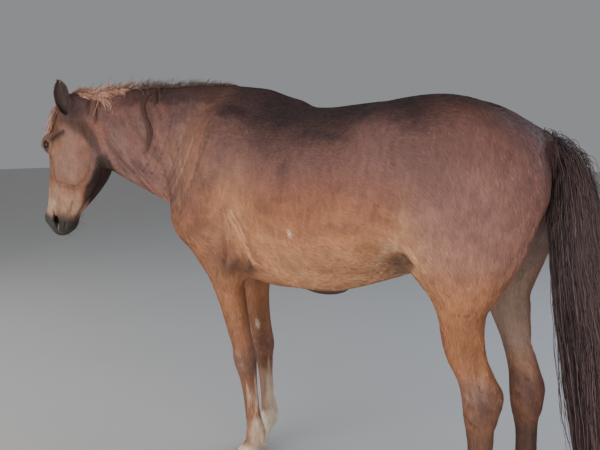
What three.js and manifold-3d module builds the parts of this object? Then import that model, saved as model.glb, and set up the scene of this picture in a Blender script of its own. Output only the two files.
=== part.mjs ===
// A life-size standing horse, still, divided where a person would name its parts.
// The form is one signed field (metres) made of named sections and rounded masses; each piece is that field
// turned into a closed faceted body and parted from its neighbours by thin plane cuts.
// +Z up, facing -X, its left side towards -Y; the exported bodies are in millimetres.
import * as THREE from 'three';
import { mergeVertices } from 'three/addons/utils/BufferGeometryUtils.js';
import Module from 'manifold-3d';

const GAP = 0.3;                                   // mm between neighbouring pieces
const TRIS = { trunk: 1720, neck: 640, head: 1760, ear: 260, fore: 640, hind: 760, tail: 420, mane: 340, lock: 170 };
const EYE_AT = [0.178, 0.083, -0.030], EYE_R = 0.020; // in the head's axes, metres
const LID_OPEN = [0.018, 0.032, 0.011]; // half sizes of the opening between the lids, in the head's axes, metres
const EAR_ROOT = [0.045, 0.066, -0.095], EAR_WAY = [-0.90, 0.10, 0.42], EAR_IN = 0.031;
const NECK_CUT = [-0.62, -0.02, 1.28], HEAD_CUT = [-0.030, 0, -0.112];
const HOOVES = [[-0.345, -0.098, 1], [-0.390, 0.058, 1], [0.525, -0.10, 0.93], [0.635, 0.055, 0.93]]; // x, y of the coronet's middle, width factor
const CORONET_X = 0, CORONET_Z = 0.066, HOOF_SLOPE = -0.42, HOOF_SIDES = 22;
const HOOF_RINGS = [[0, -0.024, 0.0590, 0.0600], [0.06, -0.0236, 0.0600, 0.0610], [0.92, -0.003, 0.0478, 0.0490], [1, 0, 0.0455, 0.0465]]; // share of the height, middle, half length, half width
const COAT = { color: 0x8a5a3c, roughness: 0.6, metalness: 0 }, HAIR = { color: 0x8f5a35, roughness: 0.75, metalness: 0 }, TAILHAIR = { color: 0x4a3330, roughness: 0.75, metalness: 0 };
const EYE = { color: 0x1b1410, roughness: 0.15, metalness: 0 }, HORN = { color: 0xb9a88c, roughness: 0.55, metalness: 0 };
const MANE_DEEP = 0.014, LOCK_DEEP = 0.012;

// trunk stations: along, top, bottom, half width, height of the widest, upper exponent, lower exponent
const TRUNK = [[-0.60,1.17,0.99,0.095,1.07,2,2],[-0.55,1.30,0.925,0.135,1.08,2,2],[-0.49,1.41,0.865,0.175,1.08,1.9,2],[-0.40,1.475,0.805,0.198,1.09,1.7,2.1],
 [-0.30,1.482,0.782,0.215,1.09,1.7,2.2],[-0.20,1.460,0.776,0.240,1.08,1.8,2.2],[-0.10,1.440,0.782,0.264,1.07,1.95,2.2],[0,1.434,0.790,0.280,1.06,2.1,2.2],
 [0.10,1.440,0.810,0.284,1.07,2.2,2.2],[0.20,1.446,0.845,0.276,1.10,2.2,2.1],[0.30,1.447,0.885,0.262,1.15,2.1,2],[0.40,1.445,0.93,0.25,1.19,2,2],
 [0.50,1.425,0.99,0.232,1.21,2,2],[0.58,1.385,1.03,0.20,1.2,2,2],[0.64,1.335,1.07,0.155,1.19,2,2],[0.69,1.25,1.12,0.08,1.18,2,2]];
// chains of sections: x, y, z, half size along the up axis, half size across
const WITHERS = [[-0.66,0,1.44,0.05,0.03],[-0.52,0,1.455,0.055,0.035],[-0.40,0,1.462,0.045,0.035],[-0.28,0,1.452,0.04,0.035],[-0.16,0,1.42,0.035,0.03]];
const NECK = [[-0.42,0,1.20,0.285,0.145],[-0.58,-0.012,1.268,0.262,0.128],[-0.70,-0.048,1.300,0.240,0.114],[-0.81,-0.092,1.330,0.213,0.098],[-0.92,-0.14,1.360,0.181,0.083],[-1.01,-0.18,1.383,0.147,0.069],[-1.08,-0.208,1.392,0.112,0.058],[-1.12,-0.225,1.392,0.09,0.052]];
const BUTTOCK_NEAR = [[0.635,-0.075,1.29,0.05,0.05],[0.642,-0.10,1.19,0.060,0.062],[0.602,-0.12,1.08,0.075,0.07],[0.550,-0.135,0.97,0.070,0.062],[0.515,-0.142,0.88,0.060,0.052]];
const BUTTOCK_FAR = [[0.645,0.075,1.29,0.05,0.05],[0.660,0.10,1.19,0.060,0.062],[0.645,0.12,1.08,0.075,0.07],[0.612,0.135,0.97,0.070,0.062],[0.585,0.142,0.88,0.060,0.052]];
const FORE_NEAR = [[-0.43,-0.150,0.96,0.090,0.070],[-0.403,-0.145,0.87,0.077,0.064],[-0.386,-0.132,0.79,0.066,0.056],[-0.371,-0.121,0.71,0.056,0.049],[-0.353,-0.112,0.61,0.049,0.042],[-0.338,-0.106,0.54,0.045,0.0405],
 [-0.330,-0.104,0.485,0.0465,0.044],[-0.3215,-0.101,0.435,0.039,0.038],[-0.310,-0.100,0.36,0.0330,0.0275],[-0.299,-0.099,0.27,0.0325,0.027],[-0.291,-0.098,0.225,0.0365,0.030],[-0.287,-0.098,0.188,0.042,0.035],
 [-0.302,-0.098,0.145,0.0315,0.030],[-0.322,-0.098,0.108,0.035,0.036],[-0.336,-0.098,0.082,0.042,0.043]];
const FORE_FAR = [[-0.43,0.150,0.96,0.090,0.070],[-0.432,0.145,0.87,0.084,0.064],[-0.440,0.128,0.79,0.073,0.056],[-0.437,0.108,0.71,0.065,0.049],[-0.409,0.088,0.61,0.053,0.042],[-0.384,0.076,0.54,0.0465,0.0405],
 [-0.368,0.068,0.485,0.0465,0.044],[-0.363,0.064,0.435,0.0385,0.038],[-0.355,0.061,0.36,0.0315,0.027],[-0.344,0.059,0.27,0.0310,0.0265],[-0.337,0.058,0.225,0.0355,0.030],[-0.333,0.058,0.188,0.041,0.0345],
 [-0.347,0.058,0.145,0.0315,0.030],[-0.367,0.058,0.108,0.035,0.036],[-0.381,0.058,0.082,0.042,0.043]];
const HIND_NEAR = [[0.540,-0.135,1.02,0.112,0.085],[0.512,-0.145,0.90,0.088,0.072],[0.498,-0.138,0.80,0.061,0.056],[0.504,-0.125,0.70,0.049,0.045],[0.538,-0.111,0.62,0.047,0.040],[0.559,-0.106,0.56,0.053,0.041],
 [0.560,-0.104,0.50,0.047,0.037],[0.568,-0.103,0.42,0.040,0.031],[0.567,-0.102,0.33,0.0335,0.028],[0.567,-0.101,0.26,0.035,0.029],[0.567,-0.10,0.208,0.043,0.036],[0.552,-0.10,0.155,0.033,0.032],[0.532,-0.10,0.113,0.037,0.038],[0.518,-0.10,0.085,0.043,0.044]];
const HIND_FAR = [[0.550,0.135,1.02,0.112,0.085],[0.556,0.140,0.90,0.092,0.072],[0.578,0.112,0.80,0.060,0.054],[0.611,0.088,0.70,0.041,0.042],[0.642,0.066,0.62,0.042,0.039],[0.656,0.057,0.56,0.047,0.041],
 [0.661,0.055,0.50,0.045,0.037],[0.669,0.055,0.42,0.034,0.030],[0.673,0.055,0.33,0.0335,0.028],[0.676,0.055,0.26,0.035,0.029],[0.678,0.055,0.208,0.043,0.036],[0.662,0.055,0.155,0.033,0.032],[0.642,0.055,0.113,0.037,0.038],[0.628,0.055,0.085,0.043,0.044]];
const HEEL_NEAR = [[0.541,-0.135,0.80,0.027,0.022],[0.559,-0.118,0.70,0.018,0.016],[0.574,-0.112,0.65,0.017,0.016],[0.596,-0.107,0.602,0.020,0.018],[0.606,-0.106,0.572,0.023,0.019],[0.589,-0.106,0.50,0.020,0.017]];
const HEEL_FAR = [[0.621,0.12,0.80,0.026,0.022],[0.645,0.078,0.70,0.017,0.016],[0.661,0.066,0.65,0.017,0.016],[0.677,0.058,0.60,0.019,0.018],[0.690,0.057,0.562,0.022,0.019],[0.682,0.056,0.50,0.021,0.017]];
const DOCK = [[0.56,0,1.35,0.05,0.05],[0.64,0,1.315,0.040,0.042],[0.70,0,1.29,0.032,0.034],[0.735,0,1.24,0.028,0.03]];
const TAIL = [[0.655,0,1.325,0.028,0.030],[0.71,0,1.30,0.042,0.042],[0.742,0,1.24,0.055,0.050],[0.760,0,1.14,0.066,0.056],[0.785,0,1.00,0.076,0.062],[0.815,0,0.85,0.086,0.066],[0.845,0,0.68,0.085,0.066],[0.868,0,0.50,0.075,0.058],[0.885,0,0.34,0.056,0.046],[0.895,0,0.21,0.028,0.026]];
// head chains, in the head's own axes: down the face, across, out of the face
const SKULL = [[0.0,0,-0.095,0.050,0.058],[0.06,0,-0.078,0.062,0.068],[0.12,0,-0.068,0.071,0.077],[0.18,0,-0.064,0.069,0.077],[0.24,0,-0.064,0.063,0.066],[0.31,0,-0.065,0.057,0.054],[0.39,0,-0.066,0.055,0.047],[0.46,0,-0.070,0.052,0.044],[0.505,0,-0.078,0.046,0.044],[0.535,0,-0.088,0.034,0.040]];
const JAW = [[0.06,0.050,-0.13,0.05,0.028],[0.12,0.053,-0.15,0.055,0.030],[0.18,0.052,-0.175,0.070,0.030],[0.24,0.047,-0.180,0.072,0.028],[0.30,0.040,-0.170,0.065,0.025],[0.36,0.032,-0.155,0.054,0.022],[0.42,0.023,-0.135,0.040,0.022],[0.47,0.014,-0.118,0.032,0.024],[0.51,0.008,-0.112,0.026,0.024]];
const CHEEK_BONE = [[0.14,0.076,-0.058,0.014,0.014],[0.20,0.080,-0.070,0.013,0.012],[0.27,0.063,-0.078,0.012,0.011],[0.33,0.050,-0.080,0.011,0.010]];
const EAR_NEAR = [[0.085,0.06,-0.105,0.022,0.02],[0.06,0.065,-0.1,0.03,0.026],[0.035,0.071,-0.09,0.035,0.028],[0.013,0.076,-0.078,0.037,0.026],[-0.008,0.08,-0.068,0.0365,0.023],[-0.032,0.083,-0.059,0.0345,0.019],[-0.057,0.084,-0.052,0.03,0.015],[-0.076,0.085,-0.044,0.0195,0.01],[-0.085,0.085,-0.038,0.007,0.005]];
const EAR_FAR = [[0.085,-0.06,-0.105,0.022,0.02],[0.06,-0.065,-0.1,0.03,0.026],[0.0377,-0.0726,-0.0931,0.035,0.028],[0.0191,-0.0796,-0.0851,0.037,0.026],[0.002,-0.0858,-0.0797,0.0365,0.023],[-0.018,-0.0912,-0.0753,0.0345,0.019],[-0.0391,-0.0944,-0.0729,0.03,0.015],[-0.0547,-0.0974,-0.0689,0.0195,0.01],[-0.061,-0.099,-0.066,0.007,0.005]];
const HEAD_TURN = 27;
const HEAD_LEAN = 11;
const HEAD_AT = [-1.2015,-0.2573,1.4884];
const HEAD = [["tube",SKULL,[0,0,1],0.02,"n"],["tube",JAW,[0,0,1],0.045,"m"],["ell",[0.23,0,-0.150],[0.16,0.045,0.065],[0,0,0],0.03,"n"],
 ["ell",[0.205,0.060,-0.150],[0.120,0.028,0.080],[0,8,0],0.05,"m"],["ell",[0.174,0.078,-0.030],[0.036,0.022,0.026],[0,0,0],0.045,"m"],["tube",CHEEK_BONE,[0,0,1],0.03,"m"],
 ["ell",[0.485,0.036,-0.055],[0.040,0.020,0.032],[0,0,0],0.03,"m"],["ell",[0.522,0,-0.085],[0.032,0.043,0.034],[0,0,0],0.03,"n"],["ell",[0.498,0,-0.126],[0.030,0.033,0.022],[0,0,0],0.03,"n"],
 ["ell",[0.03,0.042,-0.10],[0.06,0.035,0.05],[0,0,0],0.05,"m"],["tube",EAR_NEAR,[0,0,1],0.022,"n"],["tube",EAR_FAR,[0,0,1],0.022,"n"]];
const BODY = [["loft",TRUNK,0.02,"m"],["tube",WITHERS,[0,0,1],0.07,"n"],["ell",[0.40,0.115,1.29],[0.23,0.12,0.15],[0,0,0],0.08,"m"],["ell",[0.29,0.185,1.33],[0.07,0.035,0.05],[0,30,0],0.10,"m"],
 ["ell",[0.512,0.125,1.11],[0.156,0.105,0.245],[0,6,0],0.085,"m"],["tube",BUTTOCK_NEAR,[1,0,0],0.07,"n"],["tube",BUTTOCK_FAR,[1,0,0],0.07,"n"],
 ["ell",[0.442,0.155,1.06],[0.078,0.075,0.17],[0,10,0],0.08,"m"],["ell",[0.460,0.17,0.95],[0.045,0.045,0.06],[0,0,0],0.05,"m"],
 ["ell",[-0.49,0.115,1.19],[0.120,0.06,0.25],[0,26,0],0.11,"m"],["ell",[-0.565,0.135,1.045],[0.055,0.055,0.085],[0,0,0],0.08,"m"],["ell",[-0.46,0.145,0.985],[0.15,0.062,0.10],[0,20,0],0.07,"m"],
 ["ell",[-0.585,0.055,1.03],[0.06,0.06,0.09],[0,0,0],0.06,"m"],["ell",[-0.44,0.10,0.885],[0.10,0.06,0.055],[0,0,0],0.07,"m"],["tube",NECK,[0,0,1],0.10,"n"],
 ["tube",FORE_NEAR,[1,0,0],0.05,"n"],["tube",FORE_FAR,[1,0,0],0.05,"n"],["tube",HIND_NEAR,[1,0,0],0.05,"n"],["tube",HIND_FAR,[1,0,0],0.05,"n"],["tube",HEEL_NEAR,[1,0,0],0.035,"n"],["tube",HEEL_FAR,[1,0,0],0.035,"n"],
 ["head",0.045],["ell",[-0.03,0,0.797],[0.085,0.03,0.034],[0,-4,0],0.04,"n"],["tube",DOCK,[1,0,0],0.05,"n"]];
const TAIL_STEPS = [["tube",TAIL,[1,0,0],0.04,"n"]];
const MANE_RUN = [[-0.46,0.035,1.49,0.030,0.040],[-0.60,0.035,1.495,0.045,0.052],[-0.74,-0.01,1.495,0.055,0.055],[-0.86,-0.06,1.495,0.060,0.056],[-0.97,-0.11,1.485,0.060,0.055],[-1.06,-0.15,1.475,0.055,0.050],[-1.12,-0.185,1.475,0.040,0.045]];
const MANE_STEPS = [["tube",MANE_RUN,[0,0,1],0.02,"n"]];
const LOCK_RUN = [[-0.035,0,-0.075,0.035,0.035],[0.02,0,-0.035,0.030,0.040],[0.07,0,-0.010,0.025,0.040],[0.12,0.004,0.0,0.02,0.03],[0.155,0.006,0.005,0.015,0.018]];
const LOCK_STEPS = [["tube",LOCK_RUN,[0,0,1],0.02,"n"]];

// ---------------------------------------------------------------- the form as one signed field (metres)
const D2R = Math.PI / 180;
const dot = (a, b) => a[0] * b[0] + a[1] * b[1] + a[2] * b[2];
const sub = (a, b) => [a[0] - b[0], a[1] - b[1], a[2] - b[2]];
const cross = (a, b) => [a[1] * b[2] - a[2] * b[1], a[2] * b[0] - a[0] * b[2], a[0] * b[1] - a[1] * b[0]];
const unit = (a) => { const l = Math.hypot(...a); return [a[0] / l, a[1] / l, a[2] / l]; };
const FAR = 1000;
function smin(a, b, k) { const h = Math.max(k - Math.abs(a - b), 0) / k; return Math.min(a, b) - h * h * k * 0.25; }

// a smooth run through the rows, n steps to each interval
function spline(rows, n) {
  const m = rows.length, at = (i) => i < 0 ? rows[0].map((v, j) => 2 * v - rows[1][j]) : i >= m ? rows[m - 1].map((v, j) => 2 * v - rows[m - 2][j]) : rows[i];
  const out = [];
  for (let i = 0; i < m - 1; i++) {
    const a = at(i - 1), b = at(i), c = at(i + 1), d = at(i + 2);
    for (let j = 0; j < n; j++) {
      const t = j / n;
      out.push(b.map((_, q) => 0.5 * (2 * b[q] + (c[q] - a[q]) * t + (2 * a[q] - 5 * b[q] + 4 * c[q] - d[q]) * t * t + (3 * b[q] - a[q] - 3 * c[q] + d[q]) * t * t * t)));
    }
  }
  out.push(rows[m - 1].slice());
  return out;
}
function turn(e) {
  const [x, y, z] = e.map((v) => v * D2R), m = new THREE.Matrix4().makeRotationFromEuler(new THREE.Euler(x, y, z, 'ZYX')).elements;
  return [[m[0], m[1], m[2]], [m[4], m[5], m[6]], [m[8], m[9], m[10]]]; // the three local axes
}
function ellipsoid(c, r, e) {
  const ax = turn(e), ext = [0, 1, 2].map((i) => Math.sqrt([0, 1, 2].reduce((s, j) => s + (ax[j][i] * r[j]) ** 2, 0)));
  const f = (x, y, z) => {
    const q = [x - c[0], y - c[1], z - c[2]]; let s0 = 0, s1 = 0;
    for (let j = 0; j < 3; j++) { const u = dot(q, ax[j]) / r[j]; s0 += u * u; s1 += (u / r[j]) ** 2; }
    const k0 = Math.sqrt(s0) + 1e-9, k1 = Math.sqrt(s1) + 1e-9;
    return k0 * (k0 - 1) / k1;
  };
  return { lo: sub(c, ext), hi: c.map((v, i) => v + ext[i]), f };
}
function bump(c, r, e) {
  const ax = turn(e), ext = [0, 1, 2].map((i) => Math.sqrt([0, 1, 2].reduce((s, j) => s + (ax[j][i] * r[j]) ** 2, 0)));
  const f = (x, y, z) => {
    const q = [x - c[0], y - c[1], z - c[2]]; let s = 0;
    for (let j = 0; j < 3; j++) s += (dot(q, ax[j]) / r[j]) ** 2;
    return s >= 1 ? 0 : (1 - s) * (1 - s);
  };
  return { lo: sub(c, ext), hi: c.map((v, i) => v + ext[i]), f };
}
function ridge(rows) {
  const S = spline(rows, 3), m = Math.max(...S.map((s) => s[3]));
  const f = (x, y, z) => {
    let best = 0;
    for (let i = 0; i < S.length - 1; i++) {
      const A = S[i], B = S[i + 1], D = sub(B, A), q = [x - A[0], y - A[1], z - A[2]], h = Math.min(1, Math.max(0, dot(q, D) / dot(D, D)));
      const p = [q[0] - h * D[0], q[1] - h * D[1], q[2] - h * D[2]], R = A[3] + (B[3] - A[3]) * h, u = 1 - dot(p, p) / (R * R);
      if (u > 0 && u * u > best) best = u * u;
    }
    return best;
  };
  return { lo: [0, 1, 2].map((i) => Math.min(...S.map((s) => s[i])) - m), hi: [0, 1, 2].map((i) => Math.max(...S.map((s) => s[i])) + m), f };
}
// elliptical sections swept along a run
function tube(rows, up) {
  const S = spline(rows, 3), N = S.length, C = S.map((s) => s.slice(0, 3)), r = S.map((s) => [Math.max(s[3], 1e-4), Math.max(s[4], 1e-4)]);
  const T = C.map((_, i) => unit(sub(C[Math.min(i + 1, N - 1)], C[Math.max(i - 1, 0)]))), u0 = unit(up);
  const U = T.map((t) => unit(sub(u0, t.map((v) => v * dot(u0, t))))), V = T.map((t, i) => cross(t, U[i])), m = Math.max(...r.flat());
  const capf = (q, j) => {
    const [a, b] = r[j], c = Math.min(a, b), x = dot(q, U[j]) / a, y = dot(q, V[j]) / b, z = dot(q, T[j]) / c;
    const k0 = Math.sqrt(x * x + y * y + z * z) + 1e-9, k1 = Math.sqrt((x / a) ** 2 + (y / b) ** 2 + (z / c) ** 2) + 1e-9;
    return k0 * (k0 - 1) / k1;
  };
  const f = (x, y, z) => {
    const P = [x, y, z]; let d = FAR, s0 = dot(sub(P, C[0]), T[0]);
    if (s0 < 0) d = capf(sub(P, C[0]), 0);
    for (let i = 0; i < N - 1; i++) {
      const s1 = dot(sub(P, C[i + 1]), T[i + 1]);
      if (s0 >= 0 && s1 <= 0) {
        const t = s0 / (s0 - s1 + 1e-12), mix = (a, b) => a.map((v, j) => v + (b[j] - v) * t);
        const q0 = sub(P, C[i]), lim = (Math.max(...r[i]) + 0.12) * 1.6;
        if (dot(q0, q0) < lim * lim + 0.02) {
          const q = sub(P, mix(C[i], C[i + 1])), [a, b] = mix(r[i], r[i + 1]), ua = dot(q, mix(U[i], U[i + 1])) / a, vb = dot(q, mix(V[i], V[i + 1])) / b;
          const k0 = Math.sqrt(ua * ua + vb * vb) + 1e-9, k1 = Math.sqrt((ua / a) ** 2 + (vb / b) ** 2) + 1e-9;
          d = Math.min(d, k0 * (k0 - 1) / k1);
        }
      }
      s0 = s1;
    }
    if (s0 > 0) d = Math.min(d, capf(sub(P, C[N - 1]), N - 1));
    return d;
  };
  return { lo: [0, 1, 2].map((i) => Math.min(...C.map((s) => s[i])) - m), hi: [0, 1, 2].map((i) => Math.max(...C.map((s) => s[i])) + m), f };
}
// the barrel: upper and lower half ovals that change from station to station
function loft(R) {
  const n = R.length, X = R.map((q) => q[0]), D = [], M = [];
  for (let i = 0; i < n - 1; i++) D.push(R[i].slice(1).map((v, j) => (R[i + 1][j + 1] - v) / (X[i + 1] - X[i])));
  for (let i = 0; i < n; i++) M.push(i === 0 ? D[0] : i === n - 1 ? D[n - 2] : D[i].map((v, j) => D[i - 1][j] * v > 0 ? 2 * D[i - 1][j] * v / (D[i - 1][j] + v + 1e-12) : 0));
  const f = (x, y, z) => {
    const xc = Math.min(Math.max(x, X[0]), X[n - 1]); let i = 0;
    while (i < n - 2 && xc > X[i + 1]) i++;
    const h = X[i + 1] - X[i], t = (xc - X[i]) / h, t2 = t * t, t3 = t2 * t;
    const [top, bot, w, zc, nt, nb] = R[i].slice(1).map((a, j) => (2 * t3 - 3 * t2 + 1) * a + (t3 - 2 * t2 + t) * h * M[i][j] + (3 * t2 - 2 * t3) * R[i + 1][j + 1] + (t3 - t2) * h * M[i + 1][j]);
    const dz = z - zc, H = dz > 0 ? top - zc : zc - bot, e = dz > 0 ? nt : nb;
    const rr = (Math.abs(y / w) ** e + Math.abs(dz / H) ** e) ** (1 / e) + 1e-9, rad = Math.hypot(y, dz);
    const d = rr < 0.3 ? -Math.min(w, H) * (1 - rr) : rad * (1 - 1 / rr), ex = Math.max(X[0] - x, x - X[n - 1]);
    return ex > 0 ? Math.hypot(Math.max(d, 0), ex) : d;
  };
  const w = Math.max(...R.map((q) => q[3]));
  return { lo: [X[0], -w, Math.min(...R.map((q) => q[2]))], hi: [X[n - 1], w, Math.max(...R.map((q) => q[1]))], f };
}
// the head's own axes
const ha = HEAD_TURN * D2R, hb = HEAD_LEAN * D2R, fwd = [-Math.cos(ha), -Math.sin(ha), 0];
const HX = [Math.sin(hb) * fwd[0], Math.sin(hb) * fwd[1], -Math.cos(hb)], HZ = [Math.cos(hb) * fwd[0], Math.cos(hb) * fwd[1], Math.sin(hb)], HY = cross(HZ, HX);
const toHead = (x, y, z) => { const q = [x - HEAD_AT[0], y - HEAD_AT[1], z - HEAD_AT[2]]; return [dot(q, HX), dot(q, HY), dot(q, HZ)]; };
const fromHead = (p) => [0, 1, 2].map((i) => HEAD_AT[i] + p[0] * HX[i] + p[1] * HY[i] + p[2] * HZ[i]);
function boxOf(pts) { return { lo: [0, 1, 2].map((i) => Math.min(...pts.map((p) => p[i]))), hi: [0, 1, 2].map((i) => Math.max(...pts.map((p) => p[i]))) }; }
function headStep(k) {
  const steps = build(HEAD), u = steps.filter((s) => s.op === 'u'), lo = [0, 1, 2].map((i) => Math.min(...u.map((s) => s.g.lo[i]))), hi = [0, 1, 2].map((i) => Math.max(...u.map((s) => s.g.hi[i])));
  const w = Math.max(Math.abs(lo[1]), hi[1]), pts = [];
  for (const a of [lo[0], hi[0]]) for (const b of [-w, w]) for (const c of [lo[2], hi[2]]) pts.push(fromHead([a, b, c]));
  return { op: 'u', g: { ...boxOf(pts), f: (x, y, z) => evalSteps(steps, ...toHead(x, y, z)) }, k, side: 'n' };
}
function build(list) {
  return list.map((s) => {
    switch (s[0]) {
      case 'loft': return { op: 'u', g: loft(s[1]), k: s[2], side: s[3] };
      case 'tube': return { op: 'u', g: tube(s[1], s[2]), k: s[3], side: s[4] };
      case 'ell': return { op: 'u', g: ellipsoid(s[1], s[2], s[3]), k: s[4], side: s[5] };
      case 'cut': return { op: 's', g: ellipsoid(s[1], s[2], s[3]), k: s[4], side: s[5] };
      case 'cutube': return { op: 's', g: tube(s[1], s[2]), k: s[3], side: s[4] };
      case 'bump': return { op: 'b', g: bump(s[1], s[2], s[3]), k: s[4], side: s[5] };
      case 'ridge': return { op: 'b', g: ridge(s[1]), k: s[2], side: s[3] };
      case 'head': return headStep(s[1]);
    }
    throw new Error('unknown step ' + s[0]);
  });
}
function evalSteps(steps, x, y, z) {
  let d = FAR; const ym = Math.abs(y);
  for (const s of steps) {
    const yy = s.side === 'm' ? ym : y, g = s.g, m = s.op === 'b' ? 0 : s.k + 0.06;
    if (x < g.lo[0] - m || x > g.hi[0] + m || yy < g.lo[1] - m || yy > g.hi[1] + m || z < g.lo[2] - m || z > g.hi[2] + m) continue;
    const v = g.f(x, yy, z);
    if (s.op === 'u') d = smin(d, v, s.k); else if (s.op === 's') d = -smin(-d, v, s.k); else d -= s.k * v;
  }
  return d;
}

// ---------------------------------------------------------------- from the field to a closed mesh
const CORNERS = [[0, 0, 0], [1, 0, 0], [0, 1, 0], [1, 1, 0], [0, 0, 1], [1, 0, 1], [0, 1, 1], [1, 1, 1]];
const TETS = [[0, 1, 3, 7], [0, 3, 2, 7], [0, 2, 6, 7], [0, 6, 4, 7], [0, 4, 5, 7], [0, 5, 1, 7]];
function mesh(field, lo, hi, h) {
  const B = 4, nb = [0, 1, 2].map((i) => Math.ceil((hi[i] - lo[i]) / h / B)), n = nb.map((v) => v * B + 1), G = new Float32Array(n[0] * n[1] * n[2]).fill(NaN);
  const id = (i, j, k) => (i * n[1] + j) * n[2] + k, live = [];
  const inner = (x, y, z) => Math.max(field(x, y, z), lo[0] + h - x, x - hi[0] + h, lo[1] + h - y, y - hi[1] + h, lo[2] + h - z, z - hi[2] + h);
  for (let a = 0; a < nb[0]; a++) for (let b = 0; b < nb[1]; b++) for (let c = 0; c < nb[2]; c++) {
    const v = inner(lo[0] + (a + 0.5) * B * h, lo[1] + (b + 0.5) * B * h, lo[2] + (c + 0.5) * B * h);
    if (Math.abs(v) > B * h * 1.5 + 0.004) continue;
    live.push([a, b, c]);
    for (let i = a * B; i <= a * B + B; i++) for (let j = b * B; j <= b * B + B; j++) for (let k = c * B; k <= c * B + B; k++) {
      const q = id(i, j, k); if (Number.isNaN(G[q])) G[q] = inner(lo[0] + i * h, lo[1] + j * h, lo[2] + k * h);
    }
  }
  const V = [], T = [], seen = new Map();
  const vert = (p, q) => {
    if (p > q) [p, q] = [q, p];
    const key = p * G.length + q; let v = seen.get(key);
    if (v === undefined) {
      const t = Math.min(0.9, Math.max(0.1, G[p] / (G[p] - G[q]))), at = (s) => [Math.floor(s / n[2] / n[1]), Math.floor(s / n[2]) % n[1], s % n[2]], a = at(p), b = at(q);
      v = V.length; V.push([0, 1, 2].map((i) => lo[i] + h * (a[i] + (b[i] - a[i]) * t))); seen.set(key, v);
    }
    return v;
  };
  for (const [a, b, c] of live) for (let i = a * B; i < a * B + B; i++) for (let j = b * B; j < b * B + B; j++) for (let k = c * B; k < c * B + B; k++) {
    const g = CORNERS.map(([x, y, z]) => id(i + x, j + y, k + z)), s = g.map((q) => G[q] < 0);
    if (s.every((v) => v) || s.every((v) => !v)) continue;
    for (const tet of TETS) {
      const inn = tet.filter((q) => s[q]), out = tet.filter((q) => !s[q]);
      if (!inn.length || !out.length) continue;
      let tris;
      if (inn.length === 1) tris = [[[inn[0], out[0]], [inn[0], out[1]], [inn[0], out[2]]]];
      else if (inn.length === 3) tris = [[[inn[0], out[0]], [inn[1], out[0]], [inn[2], out[0]]]];
      else tris = [[[inn[0], out[0]], [inn[0], out[1]], [inn[1], out[1]]], [[inn[0], out[0]], [inn[1], out[1]], [inn[1], out[0]]]];
      for (const tr of tris) {
        const w = tr.map(([p, q]) => vert(g[p], g[q])), nrm = cross(sub(V[w[1]], V[w[0]]), sub(V[w[2]], V[w[0]]));
        // outward is from the inside corners to the outside ones
        const ci = [0, 1, 2].map((m) => inn.reduce((u, q) => u + CORNERS[q][m], 0) / inn.length), co = [0, 1, 2].map((m) => out.reduce((u, q) => u + CORNERS[q][m], 0) / out.length);
        if (dot(nrm, sub(co, ci)) < 0) w.reverse();
        T.push(w);
      }
    }
  }
  return { V, T };
}
// settle each point on the surface by a few short steps down the slope
function settle(M, field, steps = 2) {
  const e = 0.0008;
  for (let s = 0; s < steps; s++) for (const p of M.V) {
    const d = field(...p), g = [0, 1, 2].map((i) => { const a = p.slice(), b = p.slice(); a[i] += e; b[i] -= e; return (field(...a) - field(...b)) / (2 * e); }), gg = Math.max(dot(g, g), 0.2);
    const k = Math.max(-0.004, Math.min(0.004, d)) / gg; for (let i = 0; i < 3; i++) p[i] -= k * g[i];
  }
  return M;
}
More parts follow.
